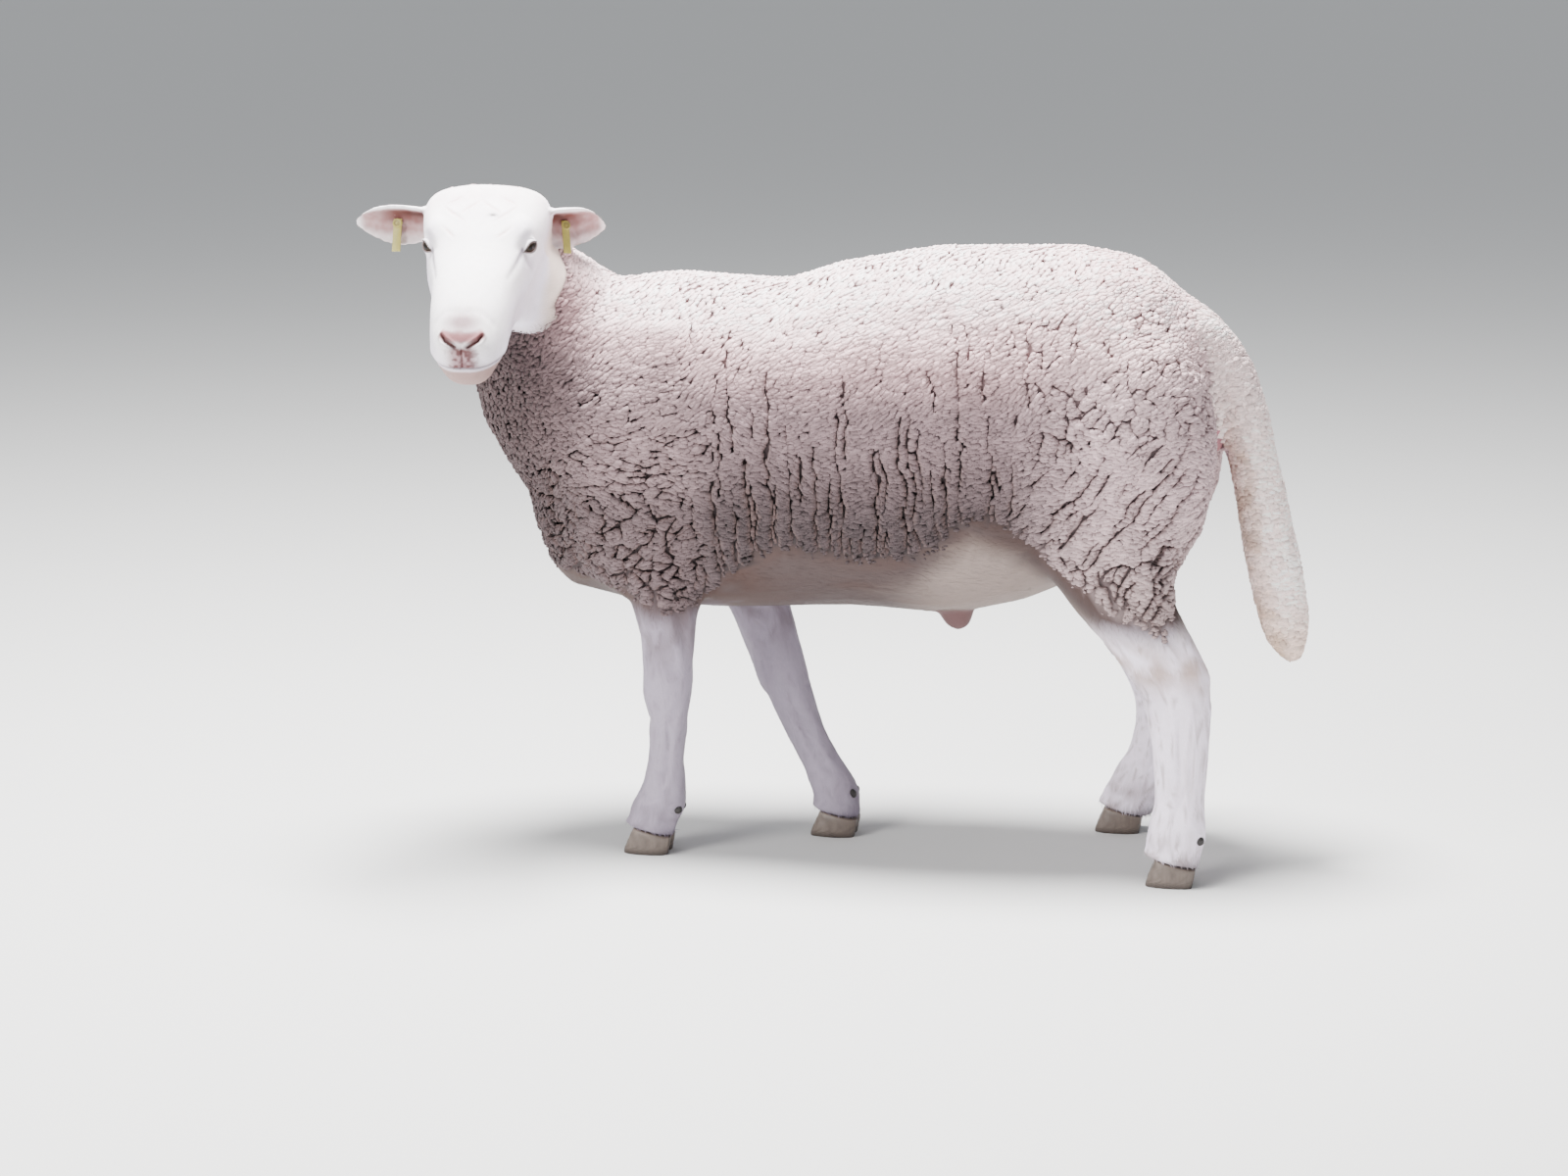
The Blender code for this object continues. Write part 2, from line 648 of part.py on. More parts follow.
def colours(parts):
    """A material for each node, by the first word of the rules that its name meets."""
    rules = (
        ("eye", (0.10, 0.06, 0.03), 0.10),
        ("ear_tag", (0.55, 0.52, 0.20), 0.45),
        ("ear", (0.78, 0.66, 0.60), 0.70),
        ("dewclaw", (0.02, 0.018, 0.018), 0.55),
        ("claw", (0.10, 0.085, 0.07), 0.55),
        ("sheath", (0.16, 0.09, 0.09), 0.65),
        ("scrotum", (0.45, 0.34, 0.30), 0.75),
        ("head", (0.84, 0.80, 0.78), 0.80),
        ("jaw", (0.80, 0.72, 0.68), 0.80),
        ("leg", (0.62, 0.58, 0.55), 0.80),
        ("tail", (0.62, 0.54, 0.46), 0.90),
        ("", (0.46, 0.38, 0.34), 0.92),
    )
    for name, obj in parts.items():
        colour, roughness = next((c, r) for word, c, r in rules if word in name)
        obj.data.materials.clear()
        obj.data.materials.append(material(name, colour, roughness))
        if "tag" not in name:
            obj.data.shade_smooth()
            obj.data.set_sharp_from_angle(angle=math.radians(50))


def stand_on_origin(parts):
    """Moves every node so that the origin is the bottom centre of the whole."""
    corners = [v.co for obj in parts.values() for v in obj.data.vertices]
    low = Vector([min(c[i] for c in corners) for i in range(3)])
    high = Vector([max(c[i] for c in corners) for i in range(3)])
    shift = Matrix.Translation(Vector((-(low.x + high.x) / 2, -(low.y + high.y) / 2, -low.z)))
    for obj in parts.values():
        obj.data.transform(shift)


def build():
    clear_scene()
    home = collection("ram")
    cutters = collection("cutters")
    forms = collection("forms")
    trunk_form(forms)
    neck_form(forms)
    foreleg_forms(forms)
    hindleg_forms(forms)
    tail_form(forms)
    head_form(forms)
    flesh = blended_flesh(forms, home)
    parts = parted(flesh, home, cutters)
    feet(parts, home, cutters)
    eyes(parts, home, cutters)
    ears(parts, home, cutters)
    underside(parts, home, cutters)
    colours(parts)
    stand_on_origin(parts)
    for helper in (forms, cutters):
        for obj in list(helper.objects):
            bpy.data.objects.remove(obj, do_unlink=True)
        bpy.data.collections.remove(helper)


build()
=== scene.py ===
"""A polled ram in short curled wool, standing on all four feet with its head turned to its left.

Metres, +Z up, head towards -X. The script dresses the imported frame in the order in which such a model
is made up: the skin over the flesh, the eyes, the tags, the hooves, the fleece, the short hair, and then
the floor, the lamps and the camera.
"""

import math

import bmesh
import bpy
import numpy as np
from mathutils import Matrix, Vector
from mathutils.kdtree import KDTree


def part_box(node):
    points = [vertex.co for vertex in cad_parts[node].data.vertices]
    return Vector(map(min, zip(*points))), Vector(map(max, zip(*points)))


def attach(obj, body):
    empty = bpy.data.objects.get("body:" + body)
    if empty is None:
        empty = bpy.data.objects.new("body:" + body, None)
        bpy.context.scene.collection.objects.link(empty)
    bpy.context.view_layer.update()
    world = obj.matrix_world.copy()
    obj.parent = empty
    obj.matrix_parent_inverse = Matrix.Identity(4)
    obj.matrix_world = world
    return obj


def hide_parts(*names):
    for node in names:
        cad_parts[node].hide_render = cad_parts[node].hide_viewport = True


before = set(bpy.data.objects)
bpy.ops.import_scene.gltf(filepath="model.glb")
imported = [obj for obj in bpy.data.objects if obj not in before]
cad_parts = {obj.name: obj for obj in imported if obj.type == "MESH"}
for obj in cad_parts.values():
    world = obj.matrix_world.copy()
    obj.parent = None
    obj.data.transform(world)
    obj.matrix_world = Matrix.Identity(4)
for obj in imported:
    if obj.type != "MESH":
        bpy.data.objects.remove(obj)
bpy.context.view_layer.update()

# ---------------------------------------------------------------- skin
# One hide over the head, ears, neck, trunk, legs and tail, with no seam. It is cast in one piece, and
# lies inside the solids by the depth of the coat: deep under the wool, close under the short hair.

EARS = ("ear_left", "ear_right")
FORELEGS = ("foreleg_left", "foreleg_right")
HINDLEGS = ("hindleg_left", "hindleg_right")
LEGS = FORELEGS + HINDLEGS
FLESH = ("head", "lower_jaw", "neck", "trunk", "tail") + LEGS + EARS + ("sheath", "scrotum")
SKIN_VOXEL = 0.0024
SKIN_MEET = 0.0009  # each solid is grown by this much, so that the thin cuts between them close
WELD = 1e-5  # corners nearer than this are one
SKIN_BODY_FACES = 24000  # under the wool
SKIN_LIMB_FACES = 34000  # legs and belly
FINE_MIDDLE = (0.10, 0, -0.06)  # in the head's frame; round it the skin keeps all its facets
FINE_REACH = 0.235
FACE_PITCH = math.radians(40)
EYE_IN_HEAD = (0.074, 0.0560, -0.029)  # forward, left and up from the poll

MIDLINE = (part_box("tail")[0][1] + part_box("tail")[1][1]) / 2
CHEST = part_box("trunk")[0][0]


def middle(node):
    low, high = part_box(node)
    return (Vector(low) + Vector(high)) / 2


def unit(vectors):
    return vectors / np.maximum(np.linalg.norm(vectors, axis=-1, keepdims=True), 1e-12)


def ramp(values, start, end):
    """0 before start and 1 after end, with a soft change between."""
    t = np.clip((values - start) / (end - start), 0.0, 1.0)
    return t * t * (3.0 - 2.0 * t)


def bell(gap, width, power=2):
    """1 where the gap is nothing, fading away over the width."""
    return np.exp(-(gap / width) ** power)


# The head's axes come from its two eyes: forward along the face, to the ram's left, and up from the face.
head_left = (middle("eye_left") - middle("eye_right")).normalized()
head_level = head_left.cross(Vector((0, 0, 1))).normalized()
head_ahead = head_level * math.cos(FACE_PITCH) - Vector((0, 0, math.sin(FACE_PITCH)))
head_up = head_ahead.cross(head_left)
eyes_middle = (middle("eye_left") + middle("eye_right")) / 2
poll = eyes_middle - head_ahead * EYE_IN_HEAD[0] - head_up * EYE_IN_HEAD[2]
HEAD_AXES = np.array((head_ahead, head_left, head_up))
POLL = np.array(poll)


def in_head(points):
    """World points in the head's frame."""
    return (points - POLL) @ HEAD_AXES.T


def from_head(points):
    return np.asarray(points) @ HEAD_AXES + POLL


def folded(q):
    """Points of the head's frame with its right half folded over on its left."""
    return np.column_stack((q[:, 0], np.abs(q[:, 1]), q[:, 2]))


def scramble(i, j, k, salt):
    """A number from 0 to 1 for each triple of whole numbers, always the same for the same ones."""
    h = (i * 73856093 + j * 19349663 + k * 83492791 + salt * 2654435) & 0xFFFFFFFF
    h = ((h ^ (h >> 15)) * 2246822519) & 0xFFFFFFFF
    h = ((h ^ (h >> 13)) * 1274126177) & 0xFFFFFFFF
    return ((h ^ (h >> 16)) & 0xFFFFFF) / float(0xFFFFFF)


def waves(points, size, salt):
    """Smooth noise from -1 to 1, with lumps of about the size given."""
    q = points / size
    cell = np.floor(q).astype(np.int64)
    t = q - cell
    t = t * t * (3.0 - 2.0 * t)
    total = np.zeros(len(points))
    for dx in (0, 1):
        for dy in (0, 1):
            for dz in (0, 1):
                weight = ((t[:, 0] if dx else 1 - t[:, 0]) * (t[:, 1] if dy else 1 - t[:, 1])
                          * (t[:, 2] if dz else 1 - t[:, 2]))
                total += weight * scramble(cell[:, 0] + dx, cell[:, 1] + dy, cell[:, 2] + dz, salt)
    return total * 2.0 - 1.0


def drift(points, size, *salts):
    """A smooth shift at each point, with a part for each salt."""
    return np.column_stack([waves(points, size, salt) for salt in salts])


def mesh_of(form, name):
    """The mesh of a form that is finished with."""
    mesh = bpy.data.meshes.new(name)
    form.to_mesh(mesh)
    form.free()
    return mesh


def added(name, mesh):
    made = bpy.data.objects.new(name, mesh)
    bpy.context.scene.collection.objects.link(made)
    return made


def applied(obj):
    """Replaces the object's mesh by its evaluated one and drops its modifiers."""
    graph = bpy.context.evaluated_depsgraph_get()
    mesh = bpy.data.meshes.new_from_object(obj.evaluated_get(graph), depsgraph=graph)
    obj.modifiers.clear()
    obj.data = mesh
    return obj


def numbers(data, key, width=3):
    """What a mesh holds of its corners, one row for each."""
    found = np.empty(len(data) * width)
    data.foreach_get(key, found)
    return found.reshape(-1, width)


def places(mesh):
    return numbers(mesh.vertices, "co")


def outward(mesh):
    return numbers(mesh.vertex_normals, "vector")


def weigh(obj, name, weights):
    """A vertex group from an array, in steps of a tenth."""
    group = obj.vertex_groups.new(name=name)
    steps = np.round(np.clip(weights, 0, 1) * 10).astype(int)
    for step in range(1, 11):
        chosen = np.flatnonzero(steps == step)
        if len(chosen):
            group.add(chosen.tolist(), step / 10, "REPLACE")
    return name


def welded(node):
    """A node's solid as one closed form."""
    form = bmesh.new()
    form.from_mesh(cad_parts[node].data)
    bmesh.ops.remove_doubles(form, verts=form.verts, dist=WELD)
    return form


def grown_solids(nodes, distance):
    whole = bmesh.new()
    for node in nodes:
        part = welded(node)
        part.normal_update()
        for vertex in part.verts:
            vertex.co += vertex.normal * distance
        whole.from_mesh(mesh_of(part, "part"))
    return added("skin", mesh_of(whole, "skin"))


# Which part of the body a point belongs to, by the nearest corner of the solids.
corner_places = []
corner_parts = []
for number, node in enumerate(FLESH):
    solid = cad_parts[node].data
    centres = np.array([polygon.center for polygon in solid.polygons])
    corner_places.append(np.vstack((places(solid), centres)))
    corner_parts.append(np.full(len(corner_places[-1]), number))
corner_places = np.vstack(corner_places)
corner_parts = np.concatenate(corner_parts)
corner_tree = KDTree(len(corner_places))
for number, place in enumerate(corner_places):
    corner_tree.insert(place, number)
corner_tree.balance()


def part_of(points):
    return corner_parts[[corner_tree.find(point)[1] for point in points]]


def is_part(parts, *names):
    return np.isin(parts, [FLESH.index(name) for name in names])


# The hem of the fleece, as the height at which the wool ends at each distance behind the chest.
HEM = ((0.015, 0.352), (0.090, 0.340), (0.155, 0.318), (0.195, 0.320), (0.235, 0.364), (0.315, 0.409),
       (0.420, 0.388), (0.470, 0.398), (0.547, 0.456), (0.595, 0.436), (0.645, 0.390), (0.721, 0.331),
       (0.783, 0.309), (0.796, 0.350), (0.808, 0.378), (0.960, 0.378))
HEM_X, HEM_Z = zip(*HEM)


def aft(points):
    """Distance behind the chest, as on the left side: the right shoulder stands further back than the left
    one, and the right thigh further ahead."""
    x = points[:, 0] - CHEST
    right = ramp(points[:, 1], MIDLINE - 0.02, MIDLINE + 0.02)
    return x - right * (0.050 * (1 - ramp(x, 0.36, 0.46)) - 0.056 * ramp(x, 0.46, 0.56))


def over_hem(points):
    """Height above the hem."""
    return points[:, 2] - np.interp(aft(points), HEM_X, HEM_Z)


# Where the short hair of the face gives way to wool: (height, distance forward), in the head's frame.
FACE_EDGE = ((-0.200, 0.150), (-0.158, 0.124), (-0.142, 0.112), (-0.1180, 0.088), (-0.113, 0.076),
             (-0.098, 0.036), (-0.080, 0.004), (-0.054, -0.016), (0.000, -0.040), (0.040, -0.055))
FACE_HALF = 0.13  # the face reaches no further than this to each side
FACE_LOW = 0.143  # or below the poll


def face_share(points, parts):
    """1 on the short-haired head and ears, 0 on the rest."""
    q = in_head(points)
    levels, edges = zip(*FACE_EDGE)
    inside = np.minimum(0.8 * (q[:, 0] - np.interp(q[:, 2], levels, edges)),
                        np.minimum(FACE_HALF - np.abs(q[:, 1]), q[:, 2] + FACE_LOW))
    inside = inside + 0.004 * waves(points, 0.016, 3)
    share = ramp(inside, -0.004, 0.010)
    share[is_part(parts, *EARS)] = 1.0
    return share


def wool_share(points, normals, parts, blur=0.014):
    """1 where the fleece grows and 0 where the hair is short or the skin bare."""
    x, y, z = points[:, 0] - CHEST, points[:, 1], points[:, 2]
    side = np.sign(y - MIDLINE)
    edge = over_hem(points) + 0.006 * waves(points, 0.02, 5)
    share = ramp(edge, -0.35 * blur, blur)
    # The inner sides of thighs and elbows are bare.
    inward = ramp(normals[:, 1] * side, -0.35, 0.15)
    low = np.maximum((x > 0.54) * (1 - ramp(z, 0.43, 0.49)), (x < 0.44) * (1 - ramp(z, 0.37, 0.42)))
    share *= 1 - low * (1 - inward)
    # So is the skin under the tail's root.
    under_tail = (ramp(x, 0.775, 0.800) * (1 - ramp(z, 0.640, 0.672))
                  * (1 - ramp(np.abs(y - MIDLINE), 0.036, 0.056)) * ramp(normals[:, 0], 0.0, 0.3))
    share *= 1 - under_tail * is_part(parts, "trunk", *HINDLEGS)
    share[is_part(parts, "tail")] = 1.0
    tail_inside = is_part(parts, "tail") & (z > 0.56) & (normals[:, 0] < -0.35)
    share[tail_inside] = 0.0
    share *= 1 - face_share(points, parts)
    share[is_part(parts, "sheath", "scrotum", *EARS)] = 0.0
    return share


TAIL_COAT = 0.0085
UPPER_COAT = 0.0072
LOWER_COAT_EXTRA = 0.0040
NAPE_COAT_LESS = 0.0032
HAIR_COAT = 0.0006


def coat_depth(points, normals, parts):
    """How deep the skin lies under the outline."""
    wool = wool_share(points, normals, parts, blur=0.045)
    near_head = 1 - ramp(np.linalg.norm(in_head(points) - (0.02, 0, -0.09), axis=1), 0.10, 0.22)
    full = UPPER_COAT + LOWER_COAT_EXTRA * (1 - ramp(points[:, 2], 0.52, 0.64)) - NAPE_COAT_LESS * near_head
    full = np.where(is_part(parts, "tail"), TAIL_COAT, full)
    return HAIR_COAT + full * wool - 0.0030 * is_part(parts, "sheath")


def decimated(obj, rule, chosen, count):
    """Thins the chosen part of the surface to about the number of triangles given."""
    sizes = np.array([len(p.vertices) for p in obj.data.polygons])
    corners = np.zeros(len(obj.data.loops), dtype=np.int64)
    obj.data.loops.foreach_get("vertex_index", corners)
    starts = np.cumsum(sizes) - sizes
    inside = int(((sizes - 2) * chosen[corners[starts]]).sum())
    thin = obj.modifiers.new("Decimate", "DECIMATE")
    thin.ratio = max(0.02, 1 - max(0, inside - count) / int((sizes - 2).sum()))
    thin.vertex_group = weigh(obj, rule, chosen.astype(float))
    thin.vertex_group_factor = 1.0
    applied(obj)
    obj.vertex_groups.clear()


def rub_down(obj, group, share, rounds):
    """Adds smoothing where the share is."""
    rub = obj.modifiers.new("Smooth", "SMOOTH")
    rub.factor = 0.5
    rub.iterations = rounds
    rub.vertex_group = weigh(obj, group, share)


def build_skin():
    skin = grown_solids(FLESH + ("eye_left", "eye_right"), SKIN_MEET)
    melt = skin.modifiers.new("Remesh", "REMESH")
    melt.mode = "VOXEL"
    melt.voxel_size = SKIN_VOXEL
    applied(skin)
    points = places(skin.data)
    parts = part_of(points)
    head = face_share(points, parts)
    feet = 1 - ramp(points[:, 2], 0.28, 0.40)
    feet[is_part(parts, "tail", "sheath", "scrotum", "trunk")] = 0.0
    # All of it is smoothed a little, the legs more, and the body until no facet of the solids shows.
    all_over = np.ones(len(points))
    for share, rounds in ((all_over, 14), (feet * (1 - head), 22), ((1 - head) * (1 - feet), 130)):
        rub_down(skin, "soft%d" % rounds, share, rounds)
    applied(skin)
    skin.vertex_groups.clear()
    # Fewer facets under the wool, and on the legs and belly, than on the head.
    points = places(skin.data)
    parts = part_of(points)
    under_wool = (wool_share(points, outward(skin.data), parts) > 0.9) & (face_share(points, parts) < 0.01)
    decimated(skin, "wool", under_wool, SKIN_BODY_FACES)
    points = places(skin.data)
    far = np.linalg.norm(in_head(points) - FINE_MIDDLE, axis=1) > FINE_REACH
    decimated(skin, "limb", far & (over_hem(points) < 0.01) & (points[:, 2] < 0.46), SKIN_LIMB_FACES)
    return skin


skin = build_skin()


# The shaping of the head: lids, nostrils, lips, the bones under the face and the folds of the ears.
EYE_RADIUS = 0.0135
LID_THICK = 0.0019
LID_EDGE = 0.0006
LID_FOLD = 0.0013
LID_BAG = 0.0007
EYE_SOCKET = 0.0030  # how far the hide dips behind the eyeball's front
LID_OPEN = (0.88, 0.46, 0.36)  # half length, and half heights up and down, in radians round the eyeball
EYE_OUT = (0.54, 0.79, 0.30)  # where the eye looks: forward, to its own side and up
NOSTRIL = ((0.2515, 0.0080, -0.0220), (0.2500, 0.0135, -0.0180), (0.2455, 0.0205, -0.0158),
           (0.2385, 0.0255, -0.0148))
NOSTRIL_HALF = 0.0016
NOSE_PAD = ((0.2440, 0.0, -0.0130), (0.2430, 0.0140, -0.0118), (0.2375, 0.0240, -0.0130))
TEAR_LINE = ((0.094, 0.057), (0.112, 0.053), (0.144, 0.045))
MOUTH_FRONT = (0.260, -0.0498)  # how far forward and up the line of the mouth starts
MOUTH_SLOPE = 0.42
JAW_EDGE = ((0.051, -0.075), (0.082, -0.0975), (0.100, -0.1166), (0.114, -0.135), (0.125, -0.157))
CREASES = (((0.028, 0.047), (0.046, 0.034), (0.066, 0.015)), ((0.022, 0.001), (0.036, 0.013), (0.052, 0.028)),
           ((0.090, 0.025), (0.079, 0.035), (0.066, 0.045)), ((0.012, 0.022), (0.022, 0.031), (0.029, 0.045)))


def eye_axes(side):
    """The eye's centre, and its directions out, to its front corner and up, in the head's frame."""
    out = Vector((EYE_OUT[0], EYE_OUT[1] * side, EYE_OUT[2])).normalized()
    front = Vector((1.0, 0.0, 0.25))
    front = (front - out * front.dot(out)).normalized()
    over = front.cross(out) * side
    centre = Vector((EYE_IN_HEAD[0], EYE_IN_HEAD[1] * side, EYE_IN_HEAD[2]))
    return np.array(centre), np.array(out), np.array(front), np.array(over)


def lump(q, centre, radii):
    return np.exp(-(((q - centre) / radii) ** 2).sum(axis=1))


def from_line(points, line):
    """Distance from each point to a bent line, and how far along it the nearest place is, from 0 to 1."""
    best = np.full(len(points), 1e9)
    share = np.zeros(len(points))
    spans = len(line) - 1
    for k in range(spans):
        start = np.array(line[k])
        way = np.array(line[k + 1]) - start
        t = np.clip((points - start) @ way / (way @ way), 0, 1)
        gap = np.linalg.norm(points - start - t[:, None] * way, axis=1)
        nearer = gap < best
        best[nearer] = gap[nearer]
        share[nearer] = ((k + t) / spans)[nearer]
    return best, share


def mouth_level(along):
    """Height of the line of the mouth."""
    return MOUTH_FRONT[1] - MOUTH_SLOPE * (MOUTH_FRONT[0] - along)


def finer(mesh, chosen):
    """Splits the faces round the chosen corners."""
    form = bmesh.new()
    form.from_mesh(mesh)
    form.verts.ensure_lookup_table()
    marked = {form.verts[k] for k in np.flatnonzero(chosen)}
    edges = [edge for edge in form.edges if edge.verts[0] in marked and edge.verts[1] in marked]
    bmesh.ops.subdivide_edges(form, edges=edges, cuts=1, use_grid_fill=True)
    bmesh.ops.triangulate(form, faces=[f for f in form.faces if len(f.verts) > 4])
    form.to_mesh(mesh)
    form.free()


def soften(mesh, chosen, rounds):
    obj = added("soften", mesh)
    rub_down(obj, "soft", chosen.astype(float), rounds)
    applied(obj)
    result = obj.data
    bpy.data.objects.remove(obj)
    return result


def shape_eyes(points):
    """Draws the skin over each eyeball as two lids, and opens it between them. Gives the new places, and how
    far inside the opening each point lies."""
    q = in_head(points)
    eye_gap = np.full(len(points), -1.0)
    for side in (1, -1):
        centre, out, front, over = eye_axes(side)
        d = q - centre
        r = np.linalg.norm(d, axis=1)
        ahead, up, c = d @ front, d @ over, d @ out
        near = (r < 0.030) & (c > 0)
        u = np.arctan2(ahead, c)
        v = np.arctan2(up, c)
        angle = np.arccos(np.clip(c / np.maximum(r, 1e-9), -1, 1))
        bow = np.clip(1 - (u / LID_OPEN[0]) ** 2, -1.5, 1)
        room = np.where(v > 0, LID_OPEN[1], LID_OPEN[2]) * bow
        inside = (room - np.abs(v)) * EYE_RADIUS  # depth inside the opening, in metres
        cover = (1 - ramp(angle, 0.80, 1.30)) * near
        lid = EYE_RADIUS + LID_THICK + LID_EDGE * bell(v - room - 0.10, 0.10)
        # A fold above the upper lid and a shallow bag below the lower.
        lid = lid - LID_FOLD * bell(v - np.maximum(room, 0) - 0.34, 0.07) * (v > 0)
        lid = lid - LID_BAG * bell(-v - np.maximum(room, 0) - 0.30, 0.09) * (v < 0)
        target = r * (1 - cover) + lid * cover
        hole = ramp(inside, -0.0002, 0.0006) * near
        target = target * (1 - hole) + (EYE_RADIUS - EYE_SOCKET) * hole
        move = near & (cover + hole > 0)
        q[move] = (centre + d * (target / np.maximum(r, 1e-9))[:, None])[move]
        eye_gap[near] = inside[near]
    return from_head(q), eye_gap


def creased(q):
    """Distances from the fine creases that run from the brows up to the poll, with how deep each is there."""
    flat = np.column_stack((q[:, 0], np.abs(q[:, 1]) + 0.0016 * np.sin(q[:, 1] * 90 + q[:, 0] * 60)))
    for line in CREASES:
        gap, share = from_line(flat, line)
        yield gap, np.sin(np.pi * share) * (q[:, 2] > -0.03)


# The face's own hollows and bumps: the push out, its middle in the folded head, and its reach each way.
FACE_FORM = (
    (0.0020, (0.140, 0.0, 0.002), (0.060, 0.020, 0.020)),  # the bridge of the nose
    (-0.0030, (0.136, 0.045, -0.034), (0.032, 0.016, 0.016)),  # beside it
    (0.0026, (0.100, 0.064, -0.060), (0.034, 0.014, 0.009)),  # the cheekbone
    (-0.0022, (0.124, 0.060, -0.080), (0.030, 0.016, 0.012)),  # under the cheekbone
    (-0.0026, (0.158, 0.050, -0.070), (0.022, 0.014, 0.014)),  # behind the corner of the mouth
    (0.0018, (0.064, 0.048, -0.006), (0.020, 0.014, 0.010)),  # the brow
    (-0.0016, (0.070, 0.0, 0.003), (0.030, 0.012, 0.020)),  # between the brows
)
LIP_CORNER = (0.0018, (0.205, 0.038, -0.050), (0.016, 0.012, 0.012))
NOSE_TIP = (0.0010, (0.2500, 0.0, -0.0150), (0.012, 0.006, 0.006))
NOSE_FOLD = ((0.213, 0.0), (0.209, 0.020), (0.216, 0.034))
JAW_RISE = 0.0034
TEAR_DEPTH = 0.0016
CREASE_DEPTH = 0.0008
CREASE_BANK = 0.0005
LIP_RISE = (0.0014, 0.0010)  # the upper lip and the lower
MOUTH_DEPTH = 0.0040
LIP_GROOVE = 0.0022
NOSTRIL_WING = 0.0012
NOSTRIL_DEPTH = 0.0056


def head_relief(q):
    """How far each point of the head is pushed out of the plain form."""
    x, y, z = q.T
    f = folded(q)
    push = np.zeros(len(q))
    for rise, centre, radii in FACE_FORM:
        push += rise * lump(f, centre, radii)
    # The edge of the jaw, from under the ear to the throat.
    gap, share = from_line(q[:, [0, 2]], JAW_EDGE)
    push += JAW_RISE * bell(gap, 0.014) * ramp(f[:, 1], 0.030, 0.050)
    # The tear line, from the eye's front corner down the face.
    gap, share = from_line(f[:, :2], TEAR_LINE)
    push -= TEAR_DEPTH * bell(gap, 0.0024) * (1 - 0.6 * share) * (z > -0.06)
    for gap, deep in creased(q):
        push -= CREASE_DEPTH * bell(gap, 0.0013) * deep
        push += CREASE_BANK * bell(gap - 0.0036, 0.0022) * deep
    # A soft fold over the nose, behind the bare pad.
    gap, share = from_line(f[:, :2], NOSE_FOLD)
    push -= 0.0007 * bell(gap, 0.0048) * (z > -0.04)
    # Lips, the line of the mouth and the groove down the upper lip.
    over = z - mouth_level(x)
    lips = ramp(x, 0.203, 0.226)
    push += LIP_RISE[0] * bell(over - 0.0050, 0.0045) * lips
    push += LIP_RISE[1] * bell(over + 0.0060, 0.0045) * lips
    push -= MOUTH_DEPTH * bell(over, 0.0013) * lips
    push -= LIP_GROOVE * bell(y, 0.0013) * ramp(x, 0.240, 0.248) * ramp(over, 0.000, 0.003) * (
        1 - ramp(z, -0.026, -0.021))
    push += LIP_CORNER[0] * lump(f, *LIP_CORNER[1:])
    # Nostrils: a slit on each side, with a wing over it.
    gap, share = from_line(f, NOSTRIL)
    push += NOSTRIL_WING * bell(gap - 0.0042, 0.0022) * (z > -0.024)
    push += NOSE_TIP[0] * lump(f, *NOSE_TIP[1:])
    wide = NOSTRIL_HALF * (1 + 0.6 * np.sin(np.pi * share))
    return push - NOSTRIL_DEPTH * bell(gap, wide)


EAR_ROOT = 0.066  # distance of the ear's root from the head's middle
EAR_HOLLOW_DEPTH = 0.0016
EAR_FOLD = 0.0010
EAR_RIM = 0.0013


def ear_chart(points, parts):
    """For each point of an ear: how far out it lies, from 0 at the root to 1 at the tip, and how far up the
    ear, from 0 at its lower edge to 1 at its upper edge."""
    out = np.zeros(len(points))
    up = np.zeros(len(points))
    for name in EARS:
        chosen = np.flatnonzero(is_part(parts, name))
        q = in_head(points[chosen])
        away = np.abs(q[:, 1])
        steps = np.linspace(EAR_ROOT, away.max(), 17)
        level = q @ np.array((-0.643, 0.0, 0.766))  # plain height above the floor
        near = [level[np.abs(away - step) < 0.006] for step in steps]
        low = np.interp(away, steps, [here.min() if len(here) else np.nan for here in near])
        high = np.interp(away, steps, [here.max() if len(here) else np.nan for here in near])
        out[chosen] = (away - EAR_ROOT) / (steps[-1] - EAR_ROOT)
        up[chosen] = np.clip((level - low) / np.maximum(high - low, 1e-4), 0, 1)
    return out, up


def ear_relief(points, normals, parts):
    """A thick rolled upper rim, the hollow under it and long folds in it."""
    out, up = ear_chart(points, parts)
    ears = is_part(parts, *EARS)
    hollow = ramp(normals @ np.array(head_level), 0.15, 0.45) * ears
    inner = ramp(out, -0.1, 0.15) * (1 - ramp(out, 0.55, 0.95))
    push = -EAR_HOLLOW_DEPTH * bell(up - 0.66, 0.16) * inner * hollow
    push += EAR_FOLD * np.cos(up * 19.0 + 2.0 * out) * inner * hollow * (1 - ramp(up, 0.55, 0.80))
    rim = ramp(up, 0.80, 0.90) * (1 - ramp(out, 0.75, 1.0))
    return push + EAR_RIM * rim * ears


DEWCLAW_RISE = 0.0050
SINEW_DEPTH = 0.0030
KNEE_RISE = 0.0028
KNEE_FOLD = 0.0016
HOCK_RISE = 0.0030
HOCK_FOLDS = 0.0014
FETLOCK_RISE = 0.0026
PASTERN_DIP = 0.0020
LEG_BINS = 41  # slices of the leg
LEG_SLICE = 0.01  # the height of each


